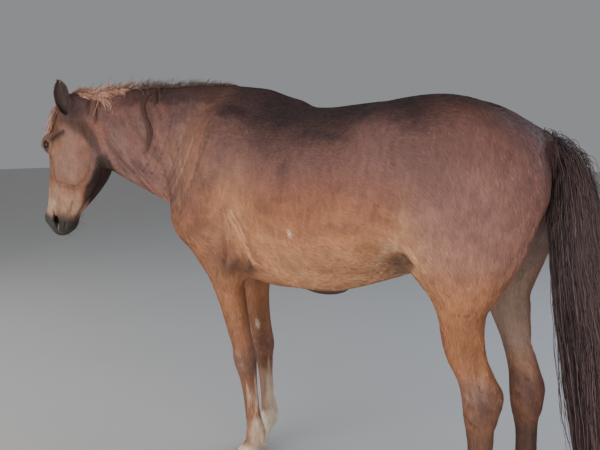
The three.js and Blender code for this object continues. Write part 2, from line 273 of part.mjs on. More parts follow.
// fewer triangles: short, flat edges go first
function thin(M, target) {
  const V = M.V.map((p) => p.slice()), T = M.T.map((t) => t.slice()), nv = V.length, Q = new Float64Array(nv * 10), near = Array.from({ length: nv }, () => new Set());
  const addQ = (v, n, d, w) => { const q = v * 10; Q[q] += w * n[0] * n[0]; Q[q + 1] += w * n[0] * n[1]; Q[q + 2] += w * n[0] * n[2]; Q[q + 3] += w * n[0] * d; Q[q + 4] += w * n[1] * n[1]; Q[q + 5] += w * n[1] * n[2]; Q[q + 6] += w * n[1] * d; Q[q + 7] += w * n[2] * n[2]; Q[q + 8] += w * n[2] * d; Q[q + 9] += w * d * d; };
  T.forEach((t, i) => {
    const c = cross(sub(V[t[1]], V[t[0]]), sub(V[t[2]], V[t[0]])), l = Math.hypot(...c);
    if (l > 1e-14) { const n = c.map((v) => v / l), d = -dot(n, V[t[0]]); for (const v of t) addQ(v, n, d, l); }
    for (const v of t) near[v].add(i);
  });
  const cost = (a, b, p) => {
    let s = 0;
    for (const v of [a, b]) { const q = v * 10, [x, y, z] = p; s += Q[q] * x * x + 2 * Q[q + 1] * x * y + 2 * Q[q + 2] * x * z + 2 * Q[q + 3] * x + Q[q + 4] * y * y + 2 * Q[q + 5] * y * z + 2 * Q[q + 6] * y + Q[q + 7] * z * z + 2 * Q[q + 8] * z + Q[q + 9]; }
    return s;
  };
  const place = (a, b) => {
    const q = new Float64Array(10); for (let i = 0; i < 10; i++) q[i] = Q[a * 10 + i] + Q[b * 10 + i];
    const mid = V[a].map((v, i) => (v + V[b][i]) / 2), tr = (q[0] + q[4] + q[7]) * 1e-3 + 1e-16, A = [[q[0] + tr, q[1], q[2]], [q[1], q[4] + tr, q[5]], [q[2], q[5], q[7] + tr]], r = [-q[3] + tr * mid[0], -q[6] + tr * mid[1], -q[8] + tr * mid[2]];
    const det = dot(A[0], cross(A[1], A[2]));
    if (Math.abs(det) < 1e-40) return mid;
    const col = (i) => A.map((w, j) => w.map((v, k) => k === i ? r[j] : v)), p = [0, 1, 2].map((i) => { const m = col(i); return dot(m[0], cross(m[1], m[2])) / det; });
    const L = Math.hypot(...sub(V[a], V[b])); return Math.hypot(...sub(p, mid)) < 1.2 * L ? p : mid;
  };
  const stamp = new Int32Array(nv), heap = [];
  const push = (e) => { let i = heap.length; heap.push(e); while (i > 0) { const p = (i - 1) >> 1; if (heap[p].c <= e.c) break; heap[i] = heap[p]; i = p; } heap[i] = e; };
  const pop = () => { const top = heap[0], e = heap.pop(); if (heap.length) { let i = 0; for (;;) { let c = 2 * i + 1; if (c >= heap.length) break; if (c + 1 < heap.length && heap[c + 1].c < heap[c].c) c++; if (heap[c].c >= e.c) break; heap[i] = heap[c]; i = c; } heap[i] = e; } return top; };
  const add = (a, b) => { const p = place(a, b), L = sub(V[a], V[b]); push({ a, b, p, c: cost(a, b, p) + 2e-7 * dot(L, L) * Math.sqrt(dot(L, L)), sa: stamp[a], sb: stamp[b] }); };
  const ring = (v) => { const s = new Set(); for (const t of near[v]) for (const w of T[t]) if (w !== v) s.add(w); return s; };
  for (const t of T) for (let i = 0; i < 3; i++) if (t[i] < t[(i + 1) % 3]) add(t[i], t[(i + 1) % 3]);
  let count = T.length;
  let passes = 0, last = count;
  while (count > target) {
    if (!heap.length) { // those turned down before may pass now
      if (passes++ > 12 || (passes > 1 && count > last * 0.995)) break;
      last = count; for (const t of T) if (t) for (let i = 0; i < 3; i++) if (t[i] < t[(i + 1) % 3]) add(t[i], t[(i + 1) % 3]);
    }
    const e = pop(); if (stamp[e.a] !== e.sa || stamp[e.b] !== e.sb) continue;
    const { a, b, p } = e, ra = ring(a), rb = ring(b); let common = 0; for (const v of ra) if (rb.has(v)) common++;
    if (common !== 2 || ra.size + rb.size > 22) continue;
    let ok = true;
    for (const v of [a, b]) for (const t of near[v]) {
      const tr = T[t]; if (tr.includes(a) && tr.includes(b)) continue;
      const o = tr.map((w) => V[w]), m = tr.map((w) => w === v ? p : V[w]), n0 = cross(sub(o[1], o[0]), sub(o[2], o[0])), n1 = cross(sub(m[1], m[0]), sub(m[2], m[0])), l0 = Math.hypot(...n0), l1 = Math.hypot(...n1);
      const longest = (w) => Math.max(...[0, 1, 2].map((i) => { const q = sub(w[i], w[(i + 1) % 3]); return dot(q, q); })), q0 = l0 / longest(o), q1 = l1 / longest(m);
      if ((q1 < 0.03 && q1 < q0) || (q0 > 0.05 && dot(n0, n1) < 0.25 * l0 * l1)) { ok = false; break; }
    }
    if (!ok) continue;
    V[a] = p; for (let i = 0; i < 10; i++) Q[a * 10 + i] += Q[b * 10 + i];
    for (const t of [...near[b]]) { const tr = T[t]; if (tr.includes(a)) { for (const w of tr) near[w].delete(t); T[t] = null; count--; } else { T[t] = tr.map((w) => w === b ? a : w); near[a].add(t); } }
    near[b].clear(); stamp[a]++; stamp[b] = -1;
    for (const w of ring(a)) add(Math.min(a, w), Math.max(a, w));
  }
  const map = new Map(), outV = [], outT = [];
  for (const t of T) if (t) outT.push(t.map((v) => { if (!map.has(v)) { map.set(v, outV.length); outV.push(V[v]); } return map.get(v); }));
  return { V: outV, T: outT };
}

// ---------------------------------------------------------------- joining and cutting
const wasm = await Module(); wasm.setup();
function solidOf(M) {
  const vp = new Float32Array(M.V.flat().map((v) => v * 1000)), tv = new Uint32Array(M.T.flat());
  return new wasm.Manifold(new wasm.Mesh({ numProp: 3, vertProperties: vp, triVerts: tv }));
}
function solidOfGeometry(geo) {
  const g = geo.clone(); g.deleteAttribute('normal'); g.deleteAttribute('uv'); const w = mergeVertices(g, 1e-4), p = w.attributes.position.array, ix = w.index.array, T = [];
  for (let i = 0; i < ix.length; i += 3) if (ix[i] !== ix[i + 1] && ix[i + 1] !== ix[i + 2] && ix[i] !== ix[i + 2]) T.push([ix[i], ix[i + 1], ix[i + 2]]);
  const V = []; for (let i = 0; i < p.length; i += 3) V.push([p[i] / 1000, p[i + 1] / 1000, p[i + 2] / 1000]);
  return solidOf({ V, T });
}
// a block with one face on the plane through p (metres) whose outward way is n, grown by g (mm)
function blockBeyond(p, n, g, size = 3000) {
  const geo = new THREE.BoxGeometry(size, size, size); geo.translate(0, 0, size / 2 - g);
  geo.applyQuaternion(new THREE.Quaternion().setFromUnitVectors(new THREE.Vector3(0, 0, 1), new THREE.Vector3(...unit(n)))); geo.translate(...p.map((v) => v * 1000));
  return solidOfGeometry(geo);
}
// a straight prism: outline in (y, z) run from x0 to x1 (metres), grown by g (mm)
function prism(outline, x0, x1, g) {
  const cx = outline.reduce((s, q) => s + q[0], 0) / outline.length, cz = outline.reduce((s, q) => s + q[1], 0) / outline.length;
  const pts = outline.map(([y, z]) => { const dy = y - cx, dz = z - cz, l = Math.hypot(dy, dz); return new THREE.Vector2((y + dy / l * g / 1000 * 1.5) * 1000, (z + dz / l * g / 1000 * 1.5) * 1000); });
  const geo = new THREE.ExtrudeGeometry(new THREE.Shape(pts), { depth: (x1 - x0) * 1000 + 2 * g, bevelEnabled: false, steps: 1 });
  // local x -> y, local y -> z, local z -> x
  geo.applyMatrix4(new THREE.Matrix4().set(0, 0, 1, x0 * 1000 - g, 1, 0, 0, 0, 0, 1, 0, 0, 0, 0, 0, 1));
  return solidOfGeometry(geo);
}
function meshOf(solid) { const m = solid.getMesh(), V = [], T = []; for (let i = 0; i < m.vertProperties.length; i += m.numProp) V.push([m.vertProperties[i] / 1000, m.vertProperties[i + 1] / 1000, m.vertProperties[i + 2] / 1000]); for (let i = 0; i < m.triVerts.length; i += 3) T.push([m.triVerts[i], m.triVerts[i + 1], m.triVerts[i + 2]]); return { V, T }; }
// the same body swollen by g mm, to cut its neighbour with
function swollen(M, g) {
  const N = M.V.map(() => [0, 0, 0]);
  for (const t of M.T) { const c = cross(sub(M.V[t[1]], M.V[t[0]]), sub(M.V[t[2]], M.V[t[0]])); for (const v of t) for (let i = 0; i < 3; i++) N[v][i] += c[i]; }
  return solidOf({ V: M.V.map((p, i) => { const l = Math.hypot(...N[i]) || 1; return p.map((v, j) => v + N[i][j] / l * g / 1000); }), T: M.T });
}
function biggest(solid) { const parts = solid.decompose(); return parts.reduce((a, b) => (b.volume() > a.volume() ? b : a)); }

// ---------------------------------------------------------------- the pieces
const group = new THREE.Group(), pieces = [];
const flesh = build(BODY), whole = (x, y, z) => evalSteps(flesh, x, y, z), hair = build(TAIL_STEPS), tailField = (x, y, z) => evalSteps(hair, x, y, z);
function keep(name, solid, mat) { pieces.push([name, biggest(solid), mat]); }
const raw = (lo, hi, h, tris, field = whole) => settle(thin(mesh(field, lo, hi, h), tris), field);

// the trunk, less the neck and the four legs
const trunkMesh = raw([-0.80, -0.32, 0.72], [0.80, 0.32, 1.56], 0.020, TRIS.trunk);
const neckWay = unit([-0.93, -0.20, 0.25]), headWay = (() => { const n = [0.555, 0, 0.832]; return unit([0, 1, 2].map((i) => n[0] * HX[i] + n[2] * HZ[i])); })(), headCut = fromHead(HEAD_CUT);
let trunk = solidOf(trunkMesh).subtract(blockBeyond(NECK_CUT, neckWay, GAP / 2));
const foreOut = (s) => [[0.31 * s, 0.0], [0.31 * s, 1.0], [0.045 * s, 0.80], [-0.02, 0.70], [-0.02, 0.0]], hindOut = (s) => [[0.31 * s, 0.0], [0.31 * s, 1.04], [0.05 * s, 0.875], [-0.02, 0.78], [-0.02, 0.0]];
const LEGS = [['leg_front_left', -1, foreOut, [-0.64, -0.245], TRIS.fore, 0], ['leg_front_right', 1, foreOut, [-0.64, -0.245], TRIS.fore, 1], ['leg_hind_left', -1, hindOut, [0.335, 0.80], TRIS.hind, 2], ['leg_hind_right', 1, hindOut, [0.335, 0.80], TRIS.hind, 3]];
for (const [, s, out, [a, b]] of LEGS) trunk = trunk.subtract(prism(out(s), a, b, GAP / 2));
keep('trunk', trunk, COAT);
for (const [name, s, out, [a, b], tris, i] of LEGS) {
  const [hx, hy] = HOOVES[i], lo = [a - 0.03, s < 0 ? -0.34 : -0.03, 0.03], hi = [b + 0.03, s < 0 ? -0.01 : 0.34, 1.07], m = raw(lo, hi, 0.0115, tris);
  const below = unit([HOOF_SLOPE, 0, -1]), top = [hx + CORONET_X, hy, CORONET_Z];
  keep(name, solidOf(m).intersect(prism(out(s), a, b, -GAP / 2)).subtract(blockBeyond(top, below, GAP / 2)), COAT);
}
// neck and head
const neckMesh = raw([-1.24, -0.42, 0.98], [-0.50, 0.18, 1.60], 0.016, TRIS.neck), headMesh = raw([-1.42, -0.50, 0.86], [-0.96, -0.04, 1.66], 0.0075, TRIS.head);
keep('neck', solidOf(neckMesh).intersect(blockBeyond(NECK_CUT, neckWay, -GAP / 2)).subtract(blockBeyond(headCut, headWay, GAP / 2)), COAT);
let head = solidOf(headMesh).intersect(blockBeyond(headCut, headWay, -GAP / 2));
const earBlocks = [];
for (const [side, s] of [['left', 1], ['right', -1]]) {
  // an upright block that starts at the root of the ear
  const place = (g) => {
    const w = 200, geo = new THREE.BoxGeometry(w, w, w); geo.translate(0, 0, w / 2 - g);
    const n = unit(EAR_WAY.map((v, i) => i === 1 ? v * s : v)), nw = [0, 1, 2].map((i) => n[0] * HX[i] + n[1] * HY[i] + n[2] * HZ[i]), side0 = HY.map((v) => v * s), sd = unit(sub(side0, nw.map((v) => v * dot(side0, nw)))), third = cross(sd, nw);
    geo.translate(w / 2 - EAR_IN * 1000 - g, 0, 0);
    geo.applyMatrix4(new THREE.Matrix4().makeBasis(new THREE.Vector3(...sd), new THREE.Vector3(...third.map((v) => -v)), new THREE.Vector3(...nw)));
    geo.translate(...fromHead([EAR_ROOT[0], EAR_ROOT[1] * s, EAR_ROOT[2]]).map((v) => v * 1000));
    return solidOfGeometry(geo);
  };
  const c = fromHead([-0.02, 0.075 * s, -0.07]), ear = raw(c.map((v) => v - 0.12), c.map((v) => v + 0.12), 0.0042, TRIS.ear);
  keep('ear_' + side, solidOf(ear).intersect(place(-GAP / 2)).intersect(blockBeyond(headCut, headWay, -GAP / 2)), COAT);
  head = head.subtract(place(GAP / 2)); earBlocks.push(place(GAP));
  const at = fromHead([EYE_AT[0], EYE_AT[1] * s, EYE_AT[2]]).map((v) => v * 1000), ball = (r) => { const g = new THREE.SphereGeometry(r, 12, 8); g.translate(...at); return solidOfGeometry(g); };
  const slit = new THREE.SphereGeometry(1, 12, 8), q = slit.attributes.position; // the opening between the lids
  for (let i = 0; i < q.count; i++) q.setXYZ(i, ...fromHead([EYE_AT[0] + LID_OPEN[0] * q.getX(i), s * (EYE_AT[1] + LID_OPEN[1]) + LID_OPEN[1] * q.getY(i), EYE_AT[2] + LID_OPEN[2] * q.getZ(i)]).map((v) => v * 1000));
  head = head.subtract(ball(EYE_R * 1000 + GAP)).subtract(solidOfGeometry(slit)); pieces.push(['eye_' + side, ball(EYE_R * 1000), EYE]);
}
keep('head', head, COAT);
// mane and forelock: thin layers of hair on the crest and the brow
const neckCutter = swollen(neckMesh, GAP), headCutter = swollen(headMesh, GAP), trunkCutter = swollen(trunkMesh, GAP);
const maneSteps = build(MANE_STEPS), maneField = (x, y, z) => Math.max(whole(x, y, z) - MANE_DEEP, evalSteps(maneSteps, x, y, z));
const lockSteps = build(LOCK_STEPS), lockField = (x, y, z) => Math.max(whole(x, y, z) - LOCK_DEEP, evalSteps(lockSteps, ...toHead(x, y, z)));
const maneMesh = raw([-1.24, -0.36, 1.34], [-0.40, 0.16, 1.64], 0.0085, TRIS.mane, maneField), lockMesh = raw([-1.34, -0.46, 1.32], [-1.04, -0.12, 1.60], 0.006, TRIS.lock, lockField);
const earCutters = ['ear_left', 'ear_right'].map((n) => swollen(meshOf(pieces.find((p) => p[0] === n)[1]), GAP * 2.5));
const mane = solidOf(maneMesh).subtract(neckCutter).subtract(headCutter).subtract(trunkCutter).subtract(earCutters[0]).subtract(earCutters[1]);
keep('mane', biggest(mane), HAIR);
let lock = solidOf(lockMesh).subtract(headCutter).subtract(neckCutter);
for (const c of earBlocks) lock = lock.subtract(c);
keep('forelock', lock.subtract(swollen(meshOf(biggest(mane)), GAP)), HAIR);
// tail
const tailMesh = raw([0.58, -0.12, 0.12], [1.04, 0.12, 1.42], 0.013, TRIS.tail, tailField);
keep('tail', solidOf(tailMesh).subtract(trunkCutter), TAILHAIR);
// hooves: rings from the ground to the sloping coronet
for (let i = 0; i < 4; i++) {
  const [hx, hy, hw] = HOOVES[i], N = HOOF_SIDES, V = [], T = [];
  for (let r = 0; r < HOOF_RINGS.length; r++) {
    const [h, cx, len, wid] = HOOF_RINGS[r];
    for (let j = 0; j < N; j++) {
      const a = 2 * Math.PI * j / N, c = Math.cos(a), s = Math.sin(a), e = c > 0 ? 0.78 : 1; // the heels are squarer
      const x = cx + len * Math.sign(c) * Math.abs(c) ** e, y = wid * s * (c > 0 ? 1 - 0.16 * c : 1) * hw;
      V.push([hx + x, hy + y, h === 0 ? 0 : h === 1 ? CORONET_Z + HOOF_SLOPE * (x - CORONET_X) : h * (CORONET_Z + HOOF_SLOPE * (x - CORONET_X))]);
    }
  }
  const R = HOOF_RINGS.length;
  for (let r = 0; r < R - 1; r++) for (let j = 0; j < N; j++) { const a = r * N + j, b = r * N + (j + 1) % N; T.push([a, b, b + N], [a, b + N, a + N]); }
  for (let j = 1; j < N - 1; j++) { T.push([0, j + 1, j]); T.push([(R - 1) * N, (R - 1) * N + j, (R - 1) * N + j + 1]); }
  pieces.push([['hoof_front_left', 'hoof_front_right', 'hoof_hind_left', 'hoof_hind_right'][i], solidOf({ V, T }).subtract(blockBeyond([hx + CORONET_X, hy, CORONET_Z], unit([-HOOF_SLOPE, 0, 1]), -GAP / 2)), HORN]);
}

// the whole stands with the middle of its box over the origin
const box = new THREE.Box3();
for (const [, s] of pieces) { const m = s.getMesh(), p = m.vertProperties; for (let i = 0; i < p.length; i += 3) box.expandByPoint(new THREE.Vector3(p[i], p[i + 1], p[i + 2])); }
const shift = [-(box.min.x + box.max.x) / 2, -(box.min.y + box.max.y) / 2, 0];
for (const [name, s, mat] of pieces) {
  const m = s.getMesh(), geo = new THREE.BufferGeometry(), p = new Float32Array(m.vertProperties.length);
  for (let i = 0; i < p.length; i += 3) { p[i] = m.vertProperties[i] + shift[0]; p[i + 1] = m.vertProperties[i + 1] + shift[1]; p[i + 2] = m.vertProperties[i + 2]; }
  geo.setAttribute('position', new THREE.BufferAttribute(p, 3)); geo.setIndex(new THREE.BufferAttribute(new Uint32Array(m.triVerts), 1)); geo.computeVertexNormals();
  const node = new THREE.Mesh(geo, new THREE.MeshStandardMaterial(mat)); node.name = name; group.add(node);
}
export default group;
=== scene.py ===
"""A life-size chestnut horse, still: one skin over the whole body, a short coat in fine tufts that follow the lie of the hair,
mane, forelock and tail in strands, eyes and hooves of their own. The body is one signed field (metres), made of named sections
and rounded masses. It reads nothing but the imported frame, and every random draw is seeded."""
import bpy, math, time
import numpy as np
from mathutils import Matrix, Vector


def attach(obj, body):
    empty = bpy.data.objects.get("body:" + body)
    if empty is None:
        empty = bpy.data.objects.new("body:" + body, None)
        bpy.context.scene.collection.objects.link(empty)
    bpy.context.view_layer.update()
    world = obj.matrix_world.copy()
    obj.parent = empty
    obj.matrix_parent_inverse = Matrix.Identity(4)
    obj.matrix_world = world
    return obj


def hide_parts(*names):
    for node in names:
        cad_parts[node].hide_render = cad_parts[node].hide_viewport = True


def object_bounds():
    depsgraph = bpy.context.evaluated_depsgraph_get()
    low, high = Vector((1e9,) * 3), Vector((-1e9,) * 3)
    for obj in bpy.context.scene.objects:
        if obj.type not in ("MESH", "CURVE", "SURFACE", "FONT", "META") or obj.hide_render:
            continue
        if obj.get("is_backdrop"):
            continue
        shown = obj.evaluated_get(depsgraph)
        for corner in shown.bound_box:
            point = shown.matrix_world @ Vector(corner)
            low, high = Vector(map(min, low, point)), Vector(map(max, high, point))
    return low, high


T0 = time.time()
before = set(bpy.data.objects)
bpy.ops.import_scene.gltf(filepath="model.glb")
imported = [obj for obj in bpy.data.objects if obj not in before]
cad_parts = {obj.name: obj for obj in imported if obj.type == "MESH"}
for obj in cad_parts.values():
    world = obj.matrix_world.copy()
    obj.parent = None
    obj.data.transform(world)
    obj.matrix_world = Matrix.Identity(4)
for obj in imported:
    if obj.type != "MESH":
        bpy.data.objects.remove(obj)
CAD_BOX = [list(map(float, c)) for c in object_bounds()]

SHIFT = np.array([0.17078, 0.03629, 0.0])  # from the body's own axes to the frame's: the box is centred over the origin
SKIN_DEEP = 0.0028                         # the skin lies this far inside the outline, under the coat
EYE_AT, EYE_R = (0.178, 0.083, -0.030), 0.020
HOOVES = {"front_left": (-0.345, -0.098, 1.0), "front_right": (-0.390, 0.058, 1.0), "hind_left": (0.525, -0.10, 0.93), "hind_right": (0.635, 0.055, 0.93)}

# ---------------------------------------------------------------- the field
BIG=1e3
def smin(a,b,k):
    h=np.maximum(k-np.abs(a-b),0)/k
    return np.minimum(a,b)-h*h*k*.25
def smax(a,b,k): return -smin(-a,-b,k)
def spline(P,n):
    P=np.asarray(P,float); Q=np.vstack([2*P[0]-P[1],P,2*P[-1]-P[-2]]); out=[]
    for i in range(len(P)-1):
        a,b,c,d=Q[i],Q[i+1],Q[i+2],Q[i+3]
        for j in range(n):
            t=j/n
            out.append(.5*((2*b)+(c-a)*t+(2*a-5*b+4*c-d)*t*t+(3*b-a-3*c+d)*t**3))
    out.append(P[-1]); return np.array(out)
def unit(v): v=np.asarray(v,float); return v/np.linalg.norm(v)
def rot(rx,ry,rz):
    rx,ry,rz=np.radians([rx,ry,rz])
    cx,sx,cy,sy,cz,sz=np.cos(rx),np.sin(rx),np.cos(ry),np.sin(ry),np.cos(rz),np.sin(rz)
    X=np.array([[1,0,0],[0,cx,-sx],[0,sx,cx]]); Y=np.array([[cy,0,sy],[0,1,0],[-sy,0,cy]]); Z=np.array([[cz,-sz,0],[sz,cz,0],[0,0,1]])
    return Z@Y@X
class Tube:
    """swept chain of elliptical sections: rows x,y,z,a,b ; a is the half size along 'up' made square to the run, b the other"""
    def __init__(s,rows,up,n=3,cap=1.0):
        S=spline(rows,n); s.C=S[:,:3]; s.r=np.maximum(S[:,3:5],1e-4); N=len(S)
        T=np.zeros((N,3)); T[1:-1]=S[2:,:3]-S[:-2,:3]; T[0]=S[1,:3]-S[0,:3]; T[-1]=S[-1,:3]-S[-2,:3]; T/=np.linalg.norm(T,axis=1)[:,None]
        up=unit(up); Uv=up-T*(T@up)[:,None]; Uv/=np.linalg.norm(Uv,axis=1)[:,None]; s.T,s.U,s.V=T,Uv,np.cross(T,Uv); s.cap=cap
        m=s.r.max(); s.lo=s.C.min(0)-m; s.hi=s.C.max(0)+m
    def ell(s,q,U,V,T,a,b,c):
        ua=(q*U).sum(-1)/a; vb=(q*V).sum(-1)/b; wc=(q*T).sum(-1)/c
        k0=np.sqrt(ua*ua+vb*vb+wc*wc)+1e-9; k1=np.sqrt((ua/a)**2+(vb/b)**2+(wc/c)**2)+1e-9
        return k0*(k0-1)/k1
    def __call__(s,P):
        d=np.full(len(P),BIG); C,T=s.C,s.T
        sd=P@T.T-(C*T).sum(1)[None]          # distance in front of each section plane
        rad=s.r.max(1)+.12
        for i in range(len(C)-1):
            m=(sd[:,i]>=0)&(sd[:,i+1]<=0)
            if not m.any(): continue
            i0=np.nonzero(m)[0]; q0=P[i0]-C[i]; ok=(q0*q0).sum(1)<(rad[i]*1.6)**2+.02; i0=i0[ok]
            if not len(i0): continue
            t=sd[i0,i]/(sd[i0,i]-sd[i0,i+1]+1e-12); t=t[:,None]
            c=C[i]+(C[i+1]-C[i])*t; q=P[i0]-c; U=s.U[i]+(s.U[i+1]-s.U[i])*t; V=s.V[i]+(s.V[i+1]-s.V[i])*t
            r=s.r[i]+(s.r[i+1]-s.r[i])*t
            ua=(q*U).sum(1)/r[:,0]; vb=(q*V).sum(1)/r[:,1]
            k0=np.sqrt(ua*ua+vb*vb)+1e-9; k1=np.sqrt((ua/r[:,0])**2+(vb/r[:,1])**2)+1e-9
            d[i0]=np.minimum(d[i0],k0*(k0-1)/k1)
        for j in (0,-1):
            m=(sd[:,0]<0) if j==0 else (sd[:,-1]>0)
            if m.any():
                i0=np.nonzero(m)[0]; a,b=s.r[j]; q=P[i0]-C[j]
                d[i0]=np.minimum(d[i0],s.ell(q,s.U[j],s.V[j],s.T[j],a,b,min(a,b)*s.cap))
        return d
class Ell:
    def __init__(s,c,r,e=(0,0,0)):
        s.c=np.array(c,float); s.r=np.array(r,float); s.M=rot(*e); m=s.r.max()
        ext=np.sqrt((s.M**2)@(s.r**2)); s.lo=s.c-ext; s.hi=s.c+ext
    def __call__(s,P):
        q=((P-s.c)@s.M)/s.r; k0=np.sqrt((q*q).sum(1))+1e-9; k1=np.sqrt(((q/s.r)**2).sum(1))+1e-9
        return k0*(k0-1)/k1
class Loft:
    """stations x,top,bottom,half width,height of the widest, upper and lower exponent"""
    def __init__(s,rows):
        s.R=np.array(rows,float); s.x=s.R[:,0]
        h=np.diff(s.x)[:,None]; D=np.diff(s.R[:,1:],axis=0)/h
        m=np.zeros_like(s.R[:,1:]); m[1:-1]=np.where(D[:-1]*D[1:]>0,2*D[:-1]*D[1:]/(D[:-1]+D[1:]+1e-12),0); m[0]=D[0]; m[-1]=D[-1]; s.m=m
        s.lo=np.array([s.x[0],-s.R[:,3].max(),s.R[:,2].min()]); s.hi=np.array([s.x[-1],s.R[:,3].max(),s.R[:,1].max()])
    def at(s,x):
        xc=np.clip(x,s.x[0],s.x[-1]); i=np.clip(np.searchsorted(s.x,xc)-1,0,len(s.x)-2)
        h=(s.x[i+1]-s.x[i]); t=((xc-s.x[i])/h)[:,None]; h=h[:,None]
        a,b=s.R[i,1:],s.R[i+1,1:]
        return (2*t**3-3*t*t+1)*a+(t**3-2*t*t+t)*h*s.m[i]+(3*t*t-2*t**3)*b+(t**3-t*t)*h*s.m[i+1]
    def __call__(s,P):
        v=s.at(P[:,0]); top,bot,w,zc,nt,nb=v.T
        dz=P[:,2]-zc; up=dz>0; H=np.where(up,top-zc,zc-bot); n=np.where(up,nt,nb)
        r=(np.abs(P[:,1]/w)**n+np.abs(dz/H)**n)**(1/n)+1e-9
        rad=np.hypot(P[:,1],dz); d=rad*(1-1/r); d=np.where(r<.3,-np.minimum(w,H)*(1-r),d)
        ex=np.maximum(s.x[0]-P[:,0],P[:,0]-s.x[-1])
        return np.where(ex>0,np.hypot(np.maximum(d,0),ex),np.maximum(d,-.6*0-BIG) if False else d)
def evalf(steps,P,pad=.0):
    """P Nx3 points of one block"""
    lo,hi=P.min(0),P.max(0); d=np.full(len(P),BIG)
    Pm=P.copy(); Pm[:,1]=np.abs(Pm[:,1]); lom=lo.copy(); him=hi.copy()
    if lo[1]<0:
        if hi[1]>0: lom[1],him[1]=0,max(-lo[1],hi[1])
        else: lom[1],him[1]=-hi[1],-lo[1]
    for op,f,k,side in steps:
        if side=='m': Q,l,h=Pm,lom,him
        else: Q,l,h=P,lo,hi
        m=(k if op in 'us' else 0)+(.06 if op in 'us' else 0)
        if (f.lo-m>h).any() or (f.hi+m<l).any(): continue
        v=f(Q)
        if op=='u': d=smin(d,v,k)
        elif op=='s': d=smax(d,-v,k)
        else: d=d-k*v
    return d
class Bump:
    """raises the surface by h inside a rotated ellipsoid"""
    def __init__(s,c,r,e=(0,0,0)):
        s.c=np.array(c,float); s.r=np.array(r,float); s.M=rot(*e); ext=np.sqrt((s.M**2)@(s.r**2)); s.lo=s.c-ext; s.hi=s.c+ext
    def __call__(s,P):
        q=((P-s.c)@s.M)/s.r; u=np.maximum(1-(q*q).sum(1),0); return u*u
class Ridge:
    """raises the surface along a polyline rows x,y,z,radius"""
    def __init__(s,rows,n=3):
        S=spline(rows,n); s.S=S; m=S[:,3].max(); s.lo=S[:,:3].min(0)-m; s.hi=S[:,:3].max(0)+m
    def __call__(s,P):
        best=np.zeros(len(P))
        for i in range(len(s.S)-1):
            A,B=s.S[i],s.S[i+1]; D=B[:3]-A[:3]; L2=D@D; q=P-A[:3]; h=np.clip(q@D/L2,0,1)
            q=q-np.outer(h,D); R=A[3]+(B[3]-A[3])*h; u=np.maximum(1-(q*q).sum(1)/(R*R),0)
            best=np.maximum(best,u*u)
        return best
def grid_eval(F,lo,hi,h,band=None,coarse=4,fn=None):
    """evaluate F (callable on Nx3) on a grid, only where the surface may be; returns array and origin"""
    lo=np.asarray(lo,float); n=(np.ceil((np.asarray(hi)-lo)/h).astype(int)//coarse+1)*coarse+1
    G=np.full(n,1.0,np.float32)
    nb=(n-1)//coarse
    # coarse samples at block centres
    ii=np.stack(np.meshgrid(*[np.arange(k) for k in nb],indexing='ij'),-1).reshape(-1,3)
    C=lo+(ii+.5)*coarse*h
    # order into super blocks for culling
    B=8; key=(ii//B); order=np.lexsort(key.T); ii=ii[order]; C=C[order]; key=key[order]
    cut=np.nonzero(np.any(np.diff(key,axis=0)!=0,axis=1))[0]+1
    dc=np.concatenate([F(c) for c in np.split(C,cut)])
    R=coarse*h*.87*1.6+.004
    act=np.abs(dc)<R
    # inside blocks
    for b in ii[(dc<=-R)]: pass
    I=ii[dc<=-R]
    off=np.stack(np.meshgrid(*[np.arange(coarse+1)]*3,indexing='ij'),-1).reshape(-1,3)
    if len(I):
        J=(I[:,None]*coarse+off[None]).reshape(-1,3); G[J[:,0],J[:,1],J[:,2]]=-1
    A=ii[act]
    # group active blocks by super block of 2 for evaluation
    key=A//3; order=np.lexsort(key.T); A=A[order]; key=key[order]
    cut=np.nonzero(np.any(np.diff(key,axis=0)!=0,axis=1))[0]+1
    for grp in np.split(A,cut):
        J=np.unique((grp[:,None]*coarse+off[None]).reshape(-1,3),axis=0)
        G[J[:,0],J[:,1],J[:,2]]=F(lo+J*h)
    return G,lo
def surface_nets(G,lo,h):
    s=G<0
    nx,ny,nz=G.shape
    c=np.zeros((nx-1,ny-1,nz-1),np.uint8)
    for i in (0,1):
        for j in (0,1):
            for k in (0,1): c+=s[i:nx-1+i,j:ny-1+j,k:nz-1+k]
    cell=np.nonzero((c>0)&(c<8)); idx=-np.ones(c.shape,np.int64); idx[cell]=np.arange(len(cell[0]))
    P=np.zeros((len(cell[0]),3)); W=np.zeros(len(P))
    X,Y,Z=cell
    corners=[(i,j,k) for i in (0,1) for j in (0,1) for k in (0,1)]
    for a in corners:
        for ax in range(3):
            if a[ax]: continue
            b=list(a); b[ax]=1
            ga=G[X+a[0],Y+a[1],Z+a[2]].astype(float); gb=G[X+b[0],Y+b[1],Z+b[2]].astype(float)
            m=(ga<0)!=(gb<0); t=np.where(m,ga/(ga-gb+1e-30*(ga==gb)),0)
            p=np.array(a,float)[None]+np.zeros((len(P),1)); p[:,ax]+=t
            P[m]+=p[m]; W[m]+=1
    V=lo+h*(np.stack(cell,1)+P/W[:,None])
    quads=[]
    for ax in range(3):
        o=[0,1,2]; o.remove(ax); 
        sl0=[slice(1,-1)]*3; 
        a0=[slice(1,n-1) for n in G.shape]; a1=list(a0); a0[ax]=slice(0,G.shape[ax]-1); a1[ax]=slice(1,G.shape[ax])
        S0=s[tuple(a0)]; S1=s[tuple(a1)]
        e=np.nonzero(S0!=S1); base=[e[k]+(1 if k!=ax else 0) for k in range(3)]
        def cid(du,dv):
            q=[b.copy() for b in base]; q[o[0]]+=du-1; q[o[1]]+=dv-1
            return idx[q[0],q[1],q[2]]
        q=np.stack([cid(0,0),cid(1,0),cid(1,1),cid(0,1)],1)
        fl=S0[e]; 
        if ax==1: fl=~fl
        q[~fl]=q[~fl][:,::-1]
        quads.append(q)
    return V,np.concatenate(quads)

